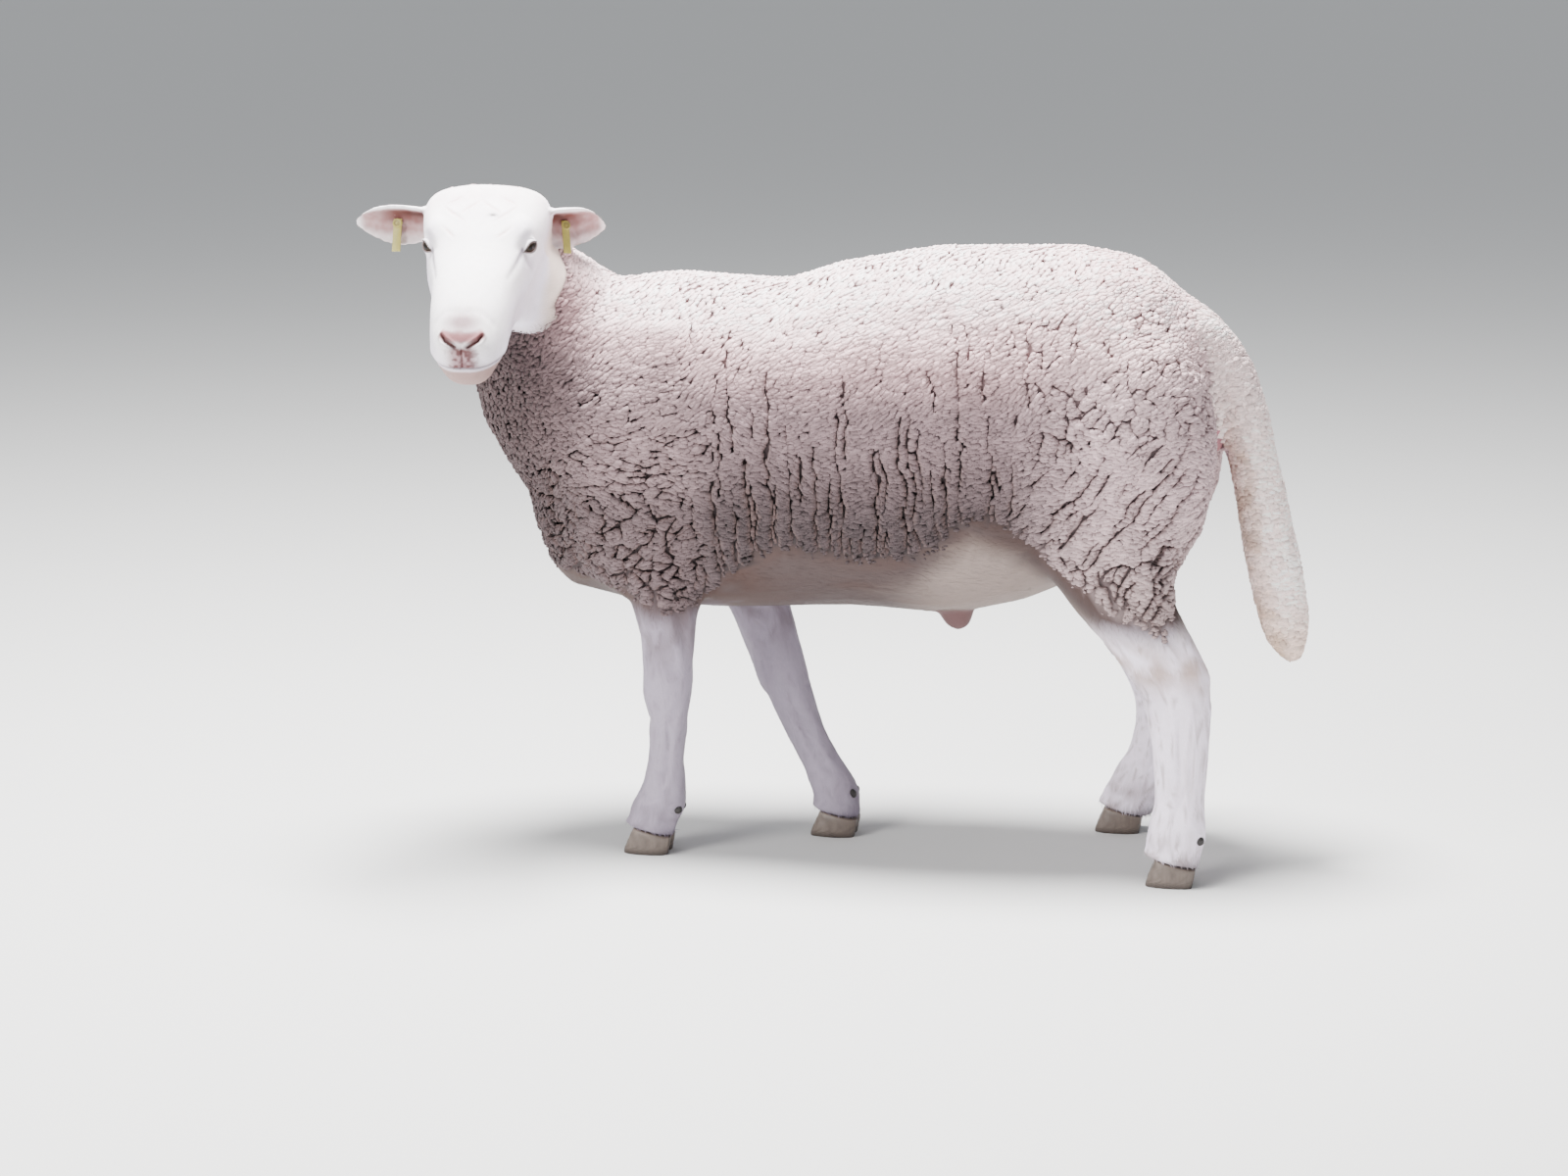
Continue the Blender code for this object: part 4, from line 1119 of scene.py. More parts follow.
# ---------------------------------------------------------------- ear tags
# A flexible plastic tag in each ear: a strip that hangs in front of the ear from a round button, whose stud
# goes through the ear to a second button behind it. They are bare, a little dirty, and scratched by use.

TAG_YELLOW = paint(160, 150, 72)
TAG_DIRT = paint(98, 82, 48)
TAG_EDGE = 0.0006  # how far its edges are rounded
BUTTON_PROFILE = ((0.0000, 0.0013), (0.0016, 0.0012), (0.0019, 0.0004), (0.0034, 0.0003), (0.0042, 0.0009),
                  (0.0054, 0.0008), (0.0060, 0.0000), (0.0058, -0.0006), (0.0000, -0.0006))
BUTTON_SIDES = 32


def merged_copy(node, flat_angle=1.0):
    """The node's solid as one closed form, with its flat faces whole."""
    form = welded(node)
    bmesh.ops.dissolve_limit(form, angle_limit=math.radians(flat_angle), verts=form.verts, edges=form.edges)
    form.normal_update()
    return form


def button_on(form):
    """The middle of the tag's front button and the way it faces."""
    widest = max(form.faces, key=lambda face: face.calc_area())
    facing = widest.normal.copy()
    if facing.dot(head_level) < 0:
        facing.negate()
    front = max(vertex.co.dot(facing) for vertex in form.verts)
    rim = [vertex.co for vertex in form.verts if vertex.co.dot(facing) > front - 0.0003]
    return sum(rim, Vector()) / len(rim), facing


def faces_of(mesh):
    return [list(polygon.vertices) for polygon in mesh.polygons]


def lathed(centre, axis, profile, sides):
    """Points and faces of a turned shape, from its (radius, height) profile. Its ends lie on the axis."""
    side = axis.orthogonal().normalized()
    turn = axis.cross(side)
    points = [centre + axis * profile[0][1]]
    for radius, height in profile[1:-1]:
        for k in range(sides):
            angle = 2 * math.pi * k / sides
            points.append(centre + axis * height + (side * math.cos(angle) + turn * math.sin(angle)) * radius)
    points.append(centre + axis * profile[-1][1])
    return np.array(points), capped_faces(len(profile) - 2, sides)


for word in ("left", "right"):
    node = "ear_tag_" + word
    form = merged_copy(node)
    centre, facing = button_on(form)
    sharp = [edge for edge in form.edges if edge.is_manifold and edge.calc_face_angle() > math.radians(40)]
    bmesh.ops.bevel(form, geom=sharp, offset=TAG_EDGE, segments=2, affect="EDGES", profile=0.6,
                    clamp_overlap=True)
    strip = mesh_of(form, "tag_strip")
    button = lathed(centre, facing, BUTTON_PROFILE, BUTTON_SIDES)
    pieces = []
    for points, faces in ((places(strip), faces_of(strip)), button):
        dirt = ramp(waves(points, 0.006, 51) + 0.6 * waves(points, 0.002, 52), 0.0, 1.1)
        near = np.linalg.norm(points - np.array(centre), axis=1)
        dirt = np.maximum(0.55 * dirt, 0.9 * bell(near - 0.0028, 0.0009))
        pieces.append((points, faces, coated(TAG_YELLOW, points, (TAG_DIRT, dirt))))
    tag = joined("tag_" + word, pieces)
    tag.data.set_sharp_from_angle(angle=math.radians(55))
    clad(tag, finish("tag_plastic_" + word, 0.004, 0.16, 0.0005, 0.00012, 0.48, Coat_Weight=0.15,
                     Coat_Roughness=0.35))
    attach(tag, "root")
    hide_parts(node)


# ---------------------------------------------------------------- claws
# Two horn claws on each foot and two small blunt dewclaws behind it. The horn has grown in fine rings, is
# paler at the coronet and darker and worn at the sole.

HORN = paint(104, 92, 84)
HORN_DARK = paint(52, 44, 40)
HORN_PALE = paint(150, 134, 122)
DEWCLAW_BLACK = paint(30, 26, 25)
GROWTH_RING = 0.0026
RING_RISE = 0.00022


def rounded(node, levels, crease_angle):
    """The node's solid with its facets smoothed, and its sharp edges kept nearly sharp."""
    form = merged_copy(node, flat_angle=0.2)
    bmesh.ops.triangulate(form, faces=[face for face in form.faces if len(face.verts) > 12])
    bmesh.ops.join_triangles(form, faces=form.faces, angle_face_threshold=0.5, angle_shape_threshold=1.5)
    crease = form.edges.layers.float.new("crease_edge")
    for edge in form.edges:
        if edge.is_manifold and edge.calc_face_angle() > math.radians(crease_angle):
            edge[crease] = 0.7
    obj = added("rounded", mesh_of(form, node))
    fine = obj.modifiers.new("Subdivision", "SUBSURF")
    fine.levels = fine.render_levels = levels
    applied(obj)
    mesh = obj.data
    bpy.data.objects.remove(obj)
    return mesh


def horn(node, levels, crease_angle, base, pale, salt):
    mesh = rounded(node, levels, crease_angle)
    points, facing = places(mesh), outward(mesh)
    low, high = points[:, 2].min(), points[:, 2].max()
    share = (points[:, 2] - low) / (high - low)
    wall = 1 - ramp(np.abs(facing[:, 2]), 0.55, 0.85)
    # The rings follow the coronet, which slopes down to the heel, and are a little uneven.
    level = points[:, 2] + 0.30 * points[:, 0] + 0.0006 * waves(points, 0.006, salt)
    rings = np.sin(level / GROWTH_RING * 2 * np.pi) + 0.5 * np.sin(level / GROWTH_RING * 5.3)
    points = points + facing * (RING_RISE * rings * wall * ramp(share, 0.02, 0.12))[:, None]
    tint = coated(base, points, (HORN_DARK, 0.8 * (1 - ramp(share, 0.0, 0.35)) + 0.18 * rings),
                  (pale, 0.45 * ramp(share, 0.75, 1.0)))
    streak = waves(points * (1, 1, 0.15), 0.0022, salt + 1)
    tint = tint * (1 + 0.14 * streak)[:, None]
    return points, faces_of(mesh), np.clip(tint, 0, 1)


# Of each kind: the rounds of smoothing, the angle in degrees from which an edge stays sharp, and its colours.
CLAW_KINDS = (("claw", 3, 40, HORN, HORN_PALE), ("dewclaw", 2, 80, DEWCLAW_BLACK, DEWCLAW_BLACK))

for leg in ("fore_left", "fore_right", "hind_left", "hind_right"):
    for kind, levels, sharp_from, base, pale in CLAW_KINDS:
        nodes = ["%s_%s_%s" % (leg, kind, word) for word in ("left", "right")]
        halves = [horn(node, levels, sharp_from, base, pale, 53 + k) for k, node in enumerate(nodes)]
        pair = joined("%s_%ss" % (leg, kind), halves)
        clad(pair, finish("%s_%s_horn" % (leg, kind), 0.003, 0.14, 0.0005, 0.0002, 0.42))
        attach(pair, "root")
        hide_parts(*nodes)


# ---------------------------------------------------------------- fleece
# A short tight fleece, 7 to 12 mm deep. It is laid on lock by lock: each lock is rooted in the hide, rises
# to the outline and bends over down the body. The locks part in deep cracks on the shoulder, flank and thigh.

LOCK_SIDES = 6
# The half width across and through the lock at its root, its bend and its crown, with how far each leans.
LOCK_STEPS = ((0.42, 0.25, 0.0), (0.48, 0.225, 0.25), (0.43, 0.078, 1.0))
TUFT_PATCH = 0.003  # how wide each tuft's patch is on the unwrapped map
LOCK_PITCH = 0.0062
LOCK_ROWS = 2.40  # how much closer the locks stand down the body than along it
TAIL_PITCH = 0.0050
# Locks beside a crack are tinted towards this: dirt in the crack, and painted shade down in it.
CRACK_DIRT_AND_SHADE = paint(116, 94, 91)

# Where the wool parts, and how: as long lines or round cells, the width and height of each, their tilt in
# degrees, the depth and half width of the cracks, how often they open, the share of that for cracks that run
# up and down a cell, the share left at the region's top, and the region: from where to where aft of the
# chest, and above the floor.
PARTINGS = (
    ("lines", 0.0150, 0.058, 3, 0.0100, 0.0011, 0.80, 1.0, 0.15, (0.205, 0.620), (0.330, 0.665)),
    ("cells", 0.023, 0.0095, 6, 0.0060, 0.0008, 0.42, 0.3, 0.20, (0.050, 0.225), (0.455, 0.620)),
    ("cells", 0.020, 0.0175, 0, 0.0100, 0.0017, 0.80, 1.0, 0.70, (-0.035, 0.215), (0.300, 0.475)),
    ("cells", 0.017, 0.020, 20, 0.0056, 0.0008, 0.60, 1.0, 0.40, (0.590, 0.880), (0.545, 0.690)),
    ("lines", 0.013, 0.030, -38, 0.0080, 0.0010, 0.66, 1.0, 0.70, (0.610, 0.850), (0.400, 0.560)),
    ("cells", 0.0140, 0.0230, -32, 0.0115, 0.0017, 0.80, 1.0, 0.80, (0.690, 0.880), (0.270, 0.450)),
    ("cells", 0.015, 0.0145, 0, 0.0085, 0.0012, 0.82, 1.0, 0.80, (0.630, 0.720), (0.250, 0.400)),
)
REGION_FADE = 0.028


def band(values, low, high):
    fade = REGION_FADE
    return ramp(values, low - fade, low + fade) * (1 - ramp(values, high - fade, high + fade))


def scatter(points, pitch, seed, **values):
    """Places over the skin when its corners are moved to the points, none nearer to another than the pitch,
    with each of the values there. The value "density" says how thickly they stand."""
    mesh = skin.data.copy()
    mesh.vertices.foreach_set("co", points.ravel())
    for label, kept in values.items():
        kind, key = ("FLOAT_VECTOR", "vector") if kept.ndim == 2 else ("FLOAT", "value")
        mesh.attributes.new(label, kind, "POINT").data.foreach_set(key, np.ascontiguousarray(kept).ravel())
    mesh.update()
    ground = added("ground", mesh)
    tree = bpy.data.node_groups.new("scatter", "GeometryNodeTree")
    for label, way in (("Surface", "INPUT"), ("Roots", "OUTPUT")):
        tree.interface.new_socket(label, in_out=way, socket_type="NodeSocketGeometry")
    given, made, spread, thickness, corners = (tree.nodes.new(kind) for kind in (
        "NodeGroupInput", "NodeGroupOutput", "GeometryNodeDistributePointsOnFaces",
        "GeometryNodeInputNamedAttribute", "GeometryNodePointsToVertices"))
    spread.distribute_method = "POISSON"
    for label, value in (("Distance Min", pitch), ("Density Max", 4.0 / pitch ** 2), ("Seed", seed)):
        spread.inputs[label].default_value = value
    thickness.data_type = "FLOAT"
    thickness.inputs["Name"].default_value = "density"
    link = tree.links.new
    link(given.outputs["Surface"], spread.inputs["Mesh"])
    link(thickness.outputs["Attribute"], spread.inputs["Density Factor"])
    link(spread.outputs["Points"], corners.inputs["Points"])
    link(corners.outputs["Mesh"], made.inputs["Roots"])
    ground.modifiers.new("Scatter", "NODES").node_group = tree
    graph = bpy.context.evaluated_depsgraph_get()
    roots = bpy.data.meshes.new_from_object(ground.evaluated_get(graph), depsgraph=graph)
    found = {"place": places(roots)}
    for label, kept in values.items():
        data = roots.attributes[label].data
        found[label] = numbers(data, "vector") if kept.ndim == 2 else numbers(data, "value", 1)[:, 0]
    bpy.data.meshes.remove(roots)
    bpy.data.objects.remove(ground)
    return found


def share_round(across, up):
    """How far round a point lies, from 0 to 1."""
    return np.arctan2(across, up) / (2 * np.pi) + 0.5


def hide_map(points, parts):
    """An unwrap of the hide: the body rolled out round its long axis, the head round its own, and each leg
    and the tail round an upright one. Both values run from 0 to 1."""
    q = in_head(points)
    head = is_part(parts, "head", "lower_jaw", *EARS)
    u = 0.02 + 0.56 * np.clip((points[:, 0] + 0.62) / 1.30, 0, 1)
    v = 0.02 + 0.96 * share_round(points[:, 1] - MIDLINE, points[:, 2] - 0.52)
    u = np.where(head, 0.60 + 0.16 * np.clip((q[:, 0] + 0.06) / 0.34, 0, 1), u)
    v = np.where(head, 0.02 + 0.96 * share_round(q[:, 1], q[:, 2] + 0.06), v)
    for number, name in enumerate(LEGS + ("tail",)):
        chosen = is_part(parts, name)
        from_middle = points - np.add(*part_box(name)) / 2
        around = share_round(from_middle[:, 1], from_middle[:, 0])
        u = np.where(chosen, 0.78 + 0.042 * number + 0.038 * around, u)
        v = np.where(chosen, 0.02 + 0.96 * np.clip(points[:, 2] / 0.75, 0, 1), v)
    return np.column_stack((u, v))


def mixed(first, second, salt):
    """An even random number from 0 to 1 for each pair of whole numbers."""
    return scramble(first, second, first * 0, salt)


def round_cells(p, number, size):
    """The middle of each point's own cell, and of the three next ones."""
    base = np.floor(p / size).astype(np.int64)
    middles = []
    for i in range(-2, 3):
        for j in range(-2, 3):
            cell = base + (i, j)
            shake = np.column_stack([mixed(*cell.T, salt + number) for salt in (100, 200)])
            middles.append((cell + 0.5 + (shake - 0.5)) * size)
    middles = np.array(middles)
    gaps = (((middles - p) / size) ** 2).sum(axis=2)
    order = np.argsort(gaps, axis=0)[:4]
    return middles[order, np.arange(len(p))]


def cell_edges(p, number, size):
    """The three nearest edges of each point's cell: a point on each, the way in, and how open it is."""
    own, *others = round_cells(p, number, size)
    for other in others:
        halfway = (own + other) / 2
        inward = unit((own - other) / size ** 2)
        yield halfway, inward, mixed(*np.round(halfway * 3e3).astype(np.int64).T, 300)


def line_edges(p, number, size):
    """The lines on both sides of each point, which open and close along their length."""
    stripe = np.floor(p[:, 0] / size[0]).astype(np.int64)
    for k in (-1, 0, 1, 2):
        line = stripe + k
        at = (line + 0.7 * (mixed(line, line * 0, 310 + number) - 0.5)) * size[0]
        inward = np.where(p[:, 0] > at, 1.0, -1.0)
        along = np.column_stack((line * 7.3, p[:, 1] / size[1], line * 0.0))
        yield (np.column_stack((at, p[:, 1])), np.column_stack((inward, inward * 0)),
               0.5 + 0.8 * waves(along, 1.0, 320 + number))


# How far the cracks stray from their rows: the reach, size and salts of each round of straying.
CRACK_WARPS = ((0.006, 0.038, (61, 62, 63)), (0.0042, 0.014, (64, 65, 66)), (0.0018, 0.006, (74, 75, 76)))
SIDE_SHIFT = 0.37  # sets the rows of the left side apart from those of the right


def partings(roots, facing, woolly):
    """The cracks by each lock: for each a point on it, the way back from it, and its depth and half width."""
    count = len(roots)
    warp = sum(reach * drift(roots, size, *salts) for reach, size, salts in CRACK_WARPS)
    p = roots + warp
    ragged = 0.030 * drift(roots, 0.050, 67, 68)
    back = aft(roots) + ragged[:, 0]
    height = roots[:, 2] + ragged[:, 1]
    side_on = np.abs(facing[:, 1]) >= np.abs(facing[:, 0])
    edges = [dict(spot=np.zeros((count, 3)), inward=np.zeros((count, 3)), depth=np.zeros(count),
                  half=np.zeros(count)) for _ in range(4)]
    best = np.zeros(count)
    for number, row in enumerate(PARTINGS):
        kind, width, tall, tilt, depth, half, often, upright, at_top, aft_range, up_range = row
        region = band(back, *aft_range) * band(height, *up_range)
        upward = np.clip((height - up_range[0]) / (up_range[1] - up_range[0]), 0, 1)
        fading = 1 - (1 - at_top) * ramp(upward, 0.25, 0.90)
        cos, sin = math.cos(math.radians(tilt)), math.sin(math.radians(tilt))
        axes = np.array(((cos, sin), (-sin, cos)))
        # The rows run along the body on its flanks, and across it at the chest and rump.
        for level, along_here in ((0, side_on), (1, ~side_on)):
            steep = ramp(np.abs(facing[:, 1 - level]), 0.40, 0.75)
            strength = region * steep * woolly * along_here
            chosen = np.flatnonzero((strength > best) & (strength > 0.05))
            if not len(chosen):
                continue
            best[chosen] = strength[chosen]
            for edge in edges:
                edge["half"][chosen] = 0
            side = np.sign(facing[chosen, 1 - level])
            flat = np.column_stack((p[chosen, level] + side * SIDE_SHIFT, p[chosen, 2])) @ axes.T
            found = (line_edges if kind == "lines" else cell_edges)(flat, number + 10 * level,
                                                                    np.array((width, tall)))
            for edge, (spot, inward, openness) in zip(edges, found):
                spot, inward = spot @ axes, inward @ axes
                edge["spot"][chosen] = 0.0
                edge["spot"][chosen, level] = spot[:, 0] - side * SIDE_SHIFT - warp[chosen, level]
                edge["spot"][chosen, 2] = spot[:, 1] - warp[chosen, 2]
                edge["inward"][chosen] = 0.0
                edge["inward"][chosen, level] = inward[:, 0]
                edge["inward"][chosen, 2] = inward[:, 1]
                vertical = np.abs(inward[:, 0]) > np.abs(inward[:, 1])
                share = often * fading[chosen] * np.where(vertical, upright, 1.0)
                gape = openness + 0.35 * waves(roots[chosen], 0.022, 69)
                gape = strength[chosen] * ramp(gape, 0.90 - share, 1.35 - share)
                edge["depth"][chosen] = depth * gape * (0.6 + 0.4 * fading[chosen])
                edge["half"][chosen] = half * np.sqrt(gape)
    return edges


def flattened(vectors, normals):
    """What is left of each direction along the surface."""
    return vectors - normals * (vectors * normals).sum(axis=1, keepdims=True)


def turned(lie, normals, angle):
    """Each lie turned about its normal, and the way across it."""
    across = np.cross(normals, lie)
    cos, sin = np.cos(angle)[:, None], np.sin(angle)[:, None]
    return lie * cos + across * sin, across * cos - lie * sin


def oval(centres, turn, across, wide, through, deep):
    """Points round each centre, on an oval of the two half widths."""
    return centres[:, None] + (np.cos(turn)[None, :, None] * (across * wide[:, None])[:, None]
                               + np.sin(turn)[None, :, None] * (through * deep[:, None])[:, None])


def wool_lie(points, normals, parts):
    """The way the locks fall: down and back on the upper body, straight down low on the flank and tail."""
    upper = ramp(points[:, 2], 0.50, 0.66)[:, None]
    lie = np.array((0.05, 0.0, -1.0)) + upper * np.array((0.50, 0.0, 0.10))
    neck = (1 - ramp(aft(points), -0.06, 0.08))[:, None]
    lie = lie * (1 - neck) + neck * np.array((0.55, 0.25, -0.80))
    # On the back they fall to both sides and backwards.
    top = ramp(normals[:, 2], 0.6, 0.95)[:, None]
    aside = np.sign(points[:, 1] - MIDLINE)[:, None] * np.array((0.0, 0.35, 0.0))
    lie = lie * (1 - top) + top * (np.array((0.9, 0.0, -0.1)) + aside)
    lie = np.where(is_part(parts, "tail")[:, None], np.array((0.16, 0.0, -0.98)), lie)
    return unit(flattened(lie + 0.45 * drift(points, 0.05, 81, 82, 83), normals))


def chance(count, salt):
    """Even random numbers from 0 to 1, the same in each run."""
    numbered = np.arange(count)
    return scramble(numbered, numbered * 0 + 17, numbered * 0 + 5, salt)


def tuft_template(sides, steps):
    """The faces of one tuft and, for each corner of a face, how far round and how far along it lies."""
    faces = grid_faces(steps, sides)
    charts = [((j, k), (j + 1, k), (j + 1, k + 1), (j, k + 1))
              for k in range(steps - 1) for j in range(sides)]
    last = (steps - 1) * sides
    faces += [(last + j, last + (j + 1) % sides, last + sides) for j in range(sides)]
    charts += [((j, steps - 1), (j + 1, steps - 1), (j + 0.5, steps)) for j in range(sides)]
    back = range(sides - 1, -1, -1)
    return faces + [tuple(back)], charts + [tuple((j, 0) for j in back)]


def joined_tufts(name, points, tints, maps, sides, steps):
    """One mesh of many like tufts. points and tints hold one row for each tuft, and maps its place on the
    hide's map, of which the piece's own share is drawn out to fill the square."""
    faces, charts = tuft_template(sides, steps)
    tufts, corners = points.shape[:2]
    sizes = np.array([len(face) for face in faces])
    flat = np.concatenate([np.array(face) for face in faces])
    mesh = bpy.data.meshes.new(name)
    mesh.vertices.add(tufts * corners)
    mesh.vertices.foreach_set("co", points.reshape(-1))
    mesh.loops.add(tufts * len(flat))
    mesh.polygons.add(tufts * len(faces))
    each = np.arange(tufts)[:, None]
    for data, key, values in ((mesh.loops, "vertex_index", each * corners + flat),
                              (mesh.polygons, "loop_start", each * len(flat) + np.cumsum(sizes) - sizes)):
        data.foreach_set(key, values.ravel().astype(np.int32))
    mesh.polygons.foreach_set("use_smooth", np.ones(tufts * len(faces), dtype=bool))
    mesh.update(calc_edges=True)
    mesh.validate()
    keep_colours(mesh, tints.reshape(-1, 3))
    low, high = maps.min(axis=0), maps.max(axis=0)
    maps = 0.004 + 0.992 * (maps - low) / np.maximum(high - low, 1e-6)
    offsets = np.concatenate([np.array(chart, dtype=float) for chart in charts])
    offsets = (offsets / (sides, steps) - 0.5) * TUFT_PATCH
    unwrapped = mesh.uv_layers.new(name="OFBake")
    unwrapped.data.foreach_set("uv", (maps[:, None] + offsets[None]).ravel())
    return added(name, mesh)


# Painted shade and light on each lock: its wool's colour darkened at the root, the bend and the tip, and
# lightened at the crown.
LOCK_PAINTED_SHADE_AND_LIGHT = (0.50, 0.60, 1.12, 0.52)  # at the root, the bend, the crown and the tip
LOCK_WIDTH = 0.0136
LOCK_THICK = 0.0032
LOCK_REACH = 0.0050  # how far the tip stands out over the next lock
SQUEEZE_MOST = 0.0075


def grow_locks(roots, salt):
    """The points and tints of a lock at each root, and its place on the hide's map."""
    top, inner, normal, share = roots["place"], roots["inner"], unit(roots["facing"]), roots["share"]
    count = len(top)
    parts = part_of(top)
    tail = is_part(parts, "tail")
    neck = 1 - ramp(aft(top), -0.06, 0.06)
    twist = (chance(count, salt) - 0.5) * (0.7 + 1.4 * neck)
    lie, across = turned(wool_lie(top, normal, parts), normal, twist)
    size = (0.78 + 0.44 * chance(count, salt + 1)) * (0.40 + 0.60 * share)
    low_tail = tail * (1 - ramp(top[:, 2], 0.56, 0.68))
    width = LOCK_WIDTH * size * (1 - 0.30 * neck - 0.10 * low_tail)
    thick = LOCK_THICK * size
    reach = LOCK_REACH * size * (1 + 0.2 * low_tail)
    lift = (0.0006 + 0.0005 * neck + 0.0002 * low_tail) * (chance(count, salt + 2) - 0.5) * 2
    lift = lift + 0.0007 * waves(top * (1, 1, 2), 0.010, 85)
    crest = top + normal * (lift - 0.0010)[:, None]
    curl = (chance(count, salt + 3) - 0.5) * 0.6
    centres = (inner - normal * 0.0004,
               crest - normal * (0.0022 + 0.2 * thick)[:, None] - lie * (0.06 * reach)[:, None],
               crest - normal * (0.45 * thick)[:, None] + lie * (0.45 * reach)[:, None])
    tip = crest - normal * (1.25 * thick)[:, None] + (lie + 0.3 * curl[:, None] * across) * reach[:, None]
    turn = np.arange(LOCK_SIDES) / LOCK_SIDES * 2 * np.pi
    rings = [oval(centre, turn, across, wide * width, unit(lie * (1 - lean) - normal * lean), deep * width)
             for centre, (wide, deep, lean) in zip(centres, LOCK_STEPS)]
    points = np.concatenate(rings + [tip[:, None]], axis=1)
    dark = np.zeros(points.shape[:2])
    for edge in partings(top, normal, 1 - tail):
        inside = ((points - edge["spot"][:, None]) * edge["inward"][:, None]).sum(axis=2)
        half = (edge["half"] * (0.5 + chance(count, salt + 5)))[:, None]
        squeeze = np.clip(half - inside, 0, SQUEEZE_MOST) * (half > 0)
        points = points + squeeze[:, :, None] * flattened(edge["inward"], normal)[:, None]
        near = np.maximum(inside, 0)
        sunk = bell(near, 0.0030) * edge["depth"][:, None] * 0.40
        points = points - sunk[:, :, None] * normal[:, None]
        # Darker the nearer and deeper the crack: partly dirt, partly painted shade.
        dark = np.maximum(dark, bell(near, 0.0022) * edge["depth"][:, None] / 0.012)
    # Painted shade at each lock's root and free edge and painted light on its crown; the low tail's locks are
    # painted lighter.
    shade = np.repeat(LOCK_PAINTED_SHADE_AND_LIGHT, (LOCK_SIDES,) * len(LOCK_STEPS) + (1,))
    shade = shade + (1.12 - shade) * 0.45 * low_tail[:, None]
    own = 0.80 + 0.34 * chance(count, salt + 4) + 0.10 * waves(top * (1, 1, 2), 0.008, 86)
    tints = wool_tint(top, normal, parts)[:, None] * shade[:, :, None] * own[:, None, None]
    tints = tints + (CRACK_DIRT_AND_SHADE - tints) * np.clip(dark * 0.85, 0, 0.85)[:, :, None]
    return points, np.clip(tints, 0, 1), hide_map(top, parts)


# Where each stretch of the fleece starts and ends, aft of the chest.
FLEECE_BANDS = (("neck", -9.0, 0.06), ("shoulder", 0.06, 0.27), ("flank", 0.27, 0.53), ("thigh", 0.53, 9.0))

inner_places = places(skin.data)
wool = wool_share(coat_outline, coat_normals, skin_parts)
growing = ramp(wool, 0.08, 0.40)
on_tail = is_part(skin_parts, "tail") * 1.0
all_roots = []
for pitch, zone, seed in ((LOCK_PITCH, 1 - on_tail, 1), (TAIL_PITCH, on_tail, 2)):
    found = scatter(coat_outline * (1, 1, LOCK_ROWS), pitch, seed, inner=inner_places, facing=coat_normals,
                    share=wool, density=growing * zone)
    found["place"] = found["place"] / (1, 1, LOCK_ROWS)
    all_roots.append(found)
roots = {label: np.concatenate([found[label] for found in all_roots]) for label in all_roots[0]}

locks, lock_tints, lock_maps = grow_locks(roots, 400)
root_aft = roots["place"][:, 0] - CHEST
left_side = roots["place"][:, 1] < MIDLINE
on_tail = is_part(part_of(roots["place"]), "tail")
groups = {"fleece_tail": on_tail}
for side_name, side in (("left", left_side), ("right", ~left_side)):
    for band_name, start, end in FLEECE_BANDS:
        here = (root_aft >= start) & (root_aft < end)
        groups["fleece_%s_%s" % (band_name, side_name)] = side & ~on_tail & here
WOOL = finish("wool", 0.007, 0.20, 0.0014, 0.0014, 0.92, Sheen_Weight=0.06, Specular_IOR_Level=0.2)
for name, chosen in groups.items():
    fleece = joined_tufts(name, locks[chosen], lock_tints[chosen], lock_maps[chosen], LOCK_SIDES,
                          len(LOCK_STEPS))
    clad(fleece, WOOL)
    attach(fleece, "root")


# ---------------------------------------------------------------- short hair
# White hair on the face, ears and legs and thin tan hair on the belly. It lies close to the hide, so each
# tuft is a thin sliver, shortest on the nose and feet and longest on the poll, throat and pasterns.

HAIR_SIDES = 3
HAIR_STEPS = 2
HEAD_PITCH = 0.0030  # how far apart the tufts stand
LEG_PITCH = 0.0040
BELLY_PITCH = 0.0046
FACE_HAIR = 0.0046  # how long the hair is
EAR_HAIR = 0.0032
LEG_HAIR = 0.0075
BELLY_HAIR = 0.0095
# Painted light: each tuft lighter than the hide under it, most at the tip, to offset the shadow under it.
HAIR_PAINTED_LIGHT = (1.02, 1.06, 1.08)  # at the root, halfway and at the tip


def hair_lie(points, normals, parts):
    """Backwards over the face, outwards along the ears, down the legs and back along the belly."""
    q = in_head(points)
    side = np.sign(q[:, 1])
    belly = is_part(parts, "trunk", "sheath", "scrotum")[:, None]
    lie = np.where(belly, np.array((1.0, 0.0, -0.25)), np.array((0.25, 0.0, -1.0)))
    # On the face the hair runs from the nose to the poll, and down on the cheeks and chin.
    own = np.column_stack((-0.9 + 0.3 * ramp(-q[:, 2], 0.03, 0.10), 0.35 * side * ramp(-q[:, 2], 0.0, 0.05),
                           -0.55 * ramp(-q[:, 2], 0.02, 0.08)))
    lie = lie + (own @ HEAD_AXES - lie) * face_share(points, parts)[:, None]
    along_ear = np.column_stack((np.zeros(len(q)), side, np.full(len(q), -0.15))) @ HEAD_AXES
    lie = np.where(is_part(parts, *EARS)[:, None], along_ear, lie)
    return unit(flattened(lie + 0.35 * drift(points, 0.022, 91, 92, 93), normals))


def hair_size(points, parts):
    """Length of the hair, and how far its tip stands off the hide."""
    q = in_head(points)
    z = points[:, 2]
    length = np.where(is_part(parts, "trunk"), BELLY_HAIR, LEG_HAIR)
    own = FACE_HAIR + 0.0008 * ramp(-q[:, 0], -0.03, 0.03) + 0.0030 * ramp(-q[:, 2], 0.08, 0.14)
    length = length + (own - length) * face_share(points, parts)
    length = np.where(is_part(parts, *EARS), EAR_HAIR, length)
    fringe = 1 - ramp(z, 0.024, 0.045)
    return length + 0.0030 * fringe * (z < 0.06), 0.03 + 0.05 * fringe


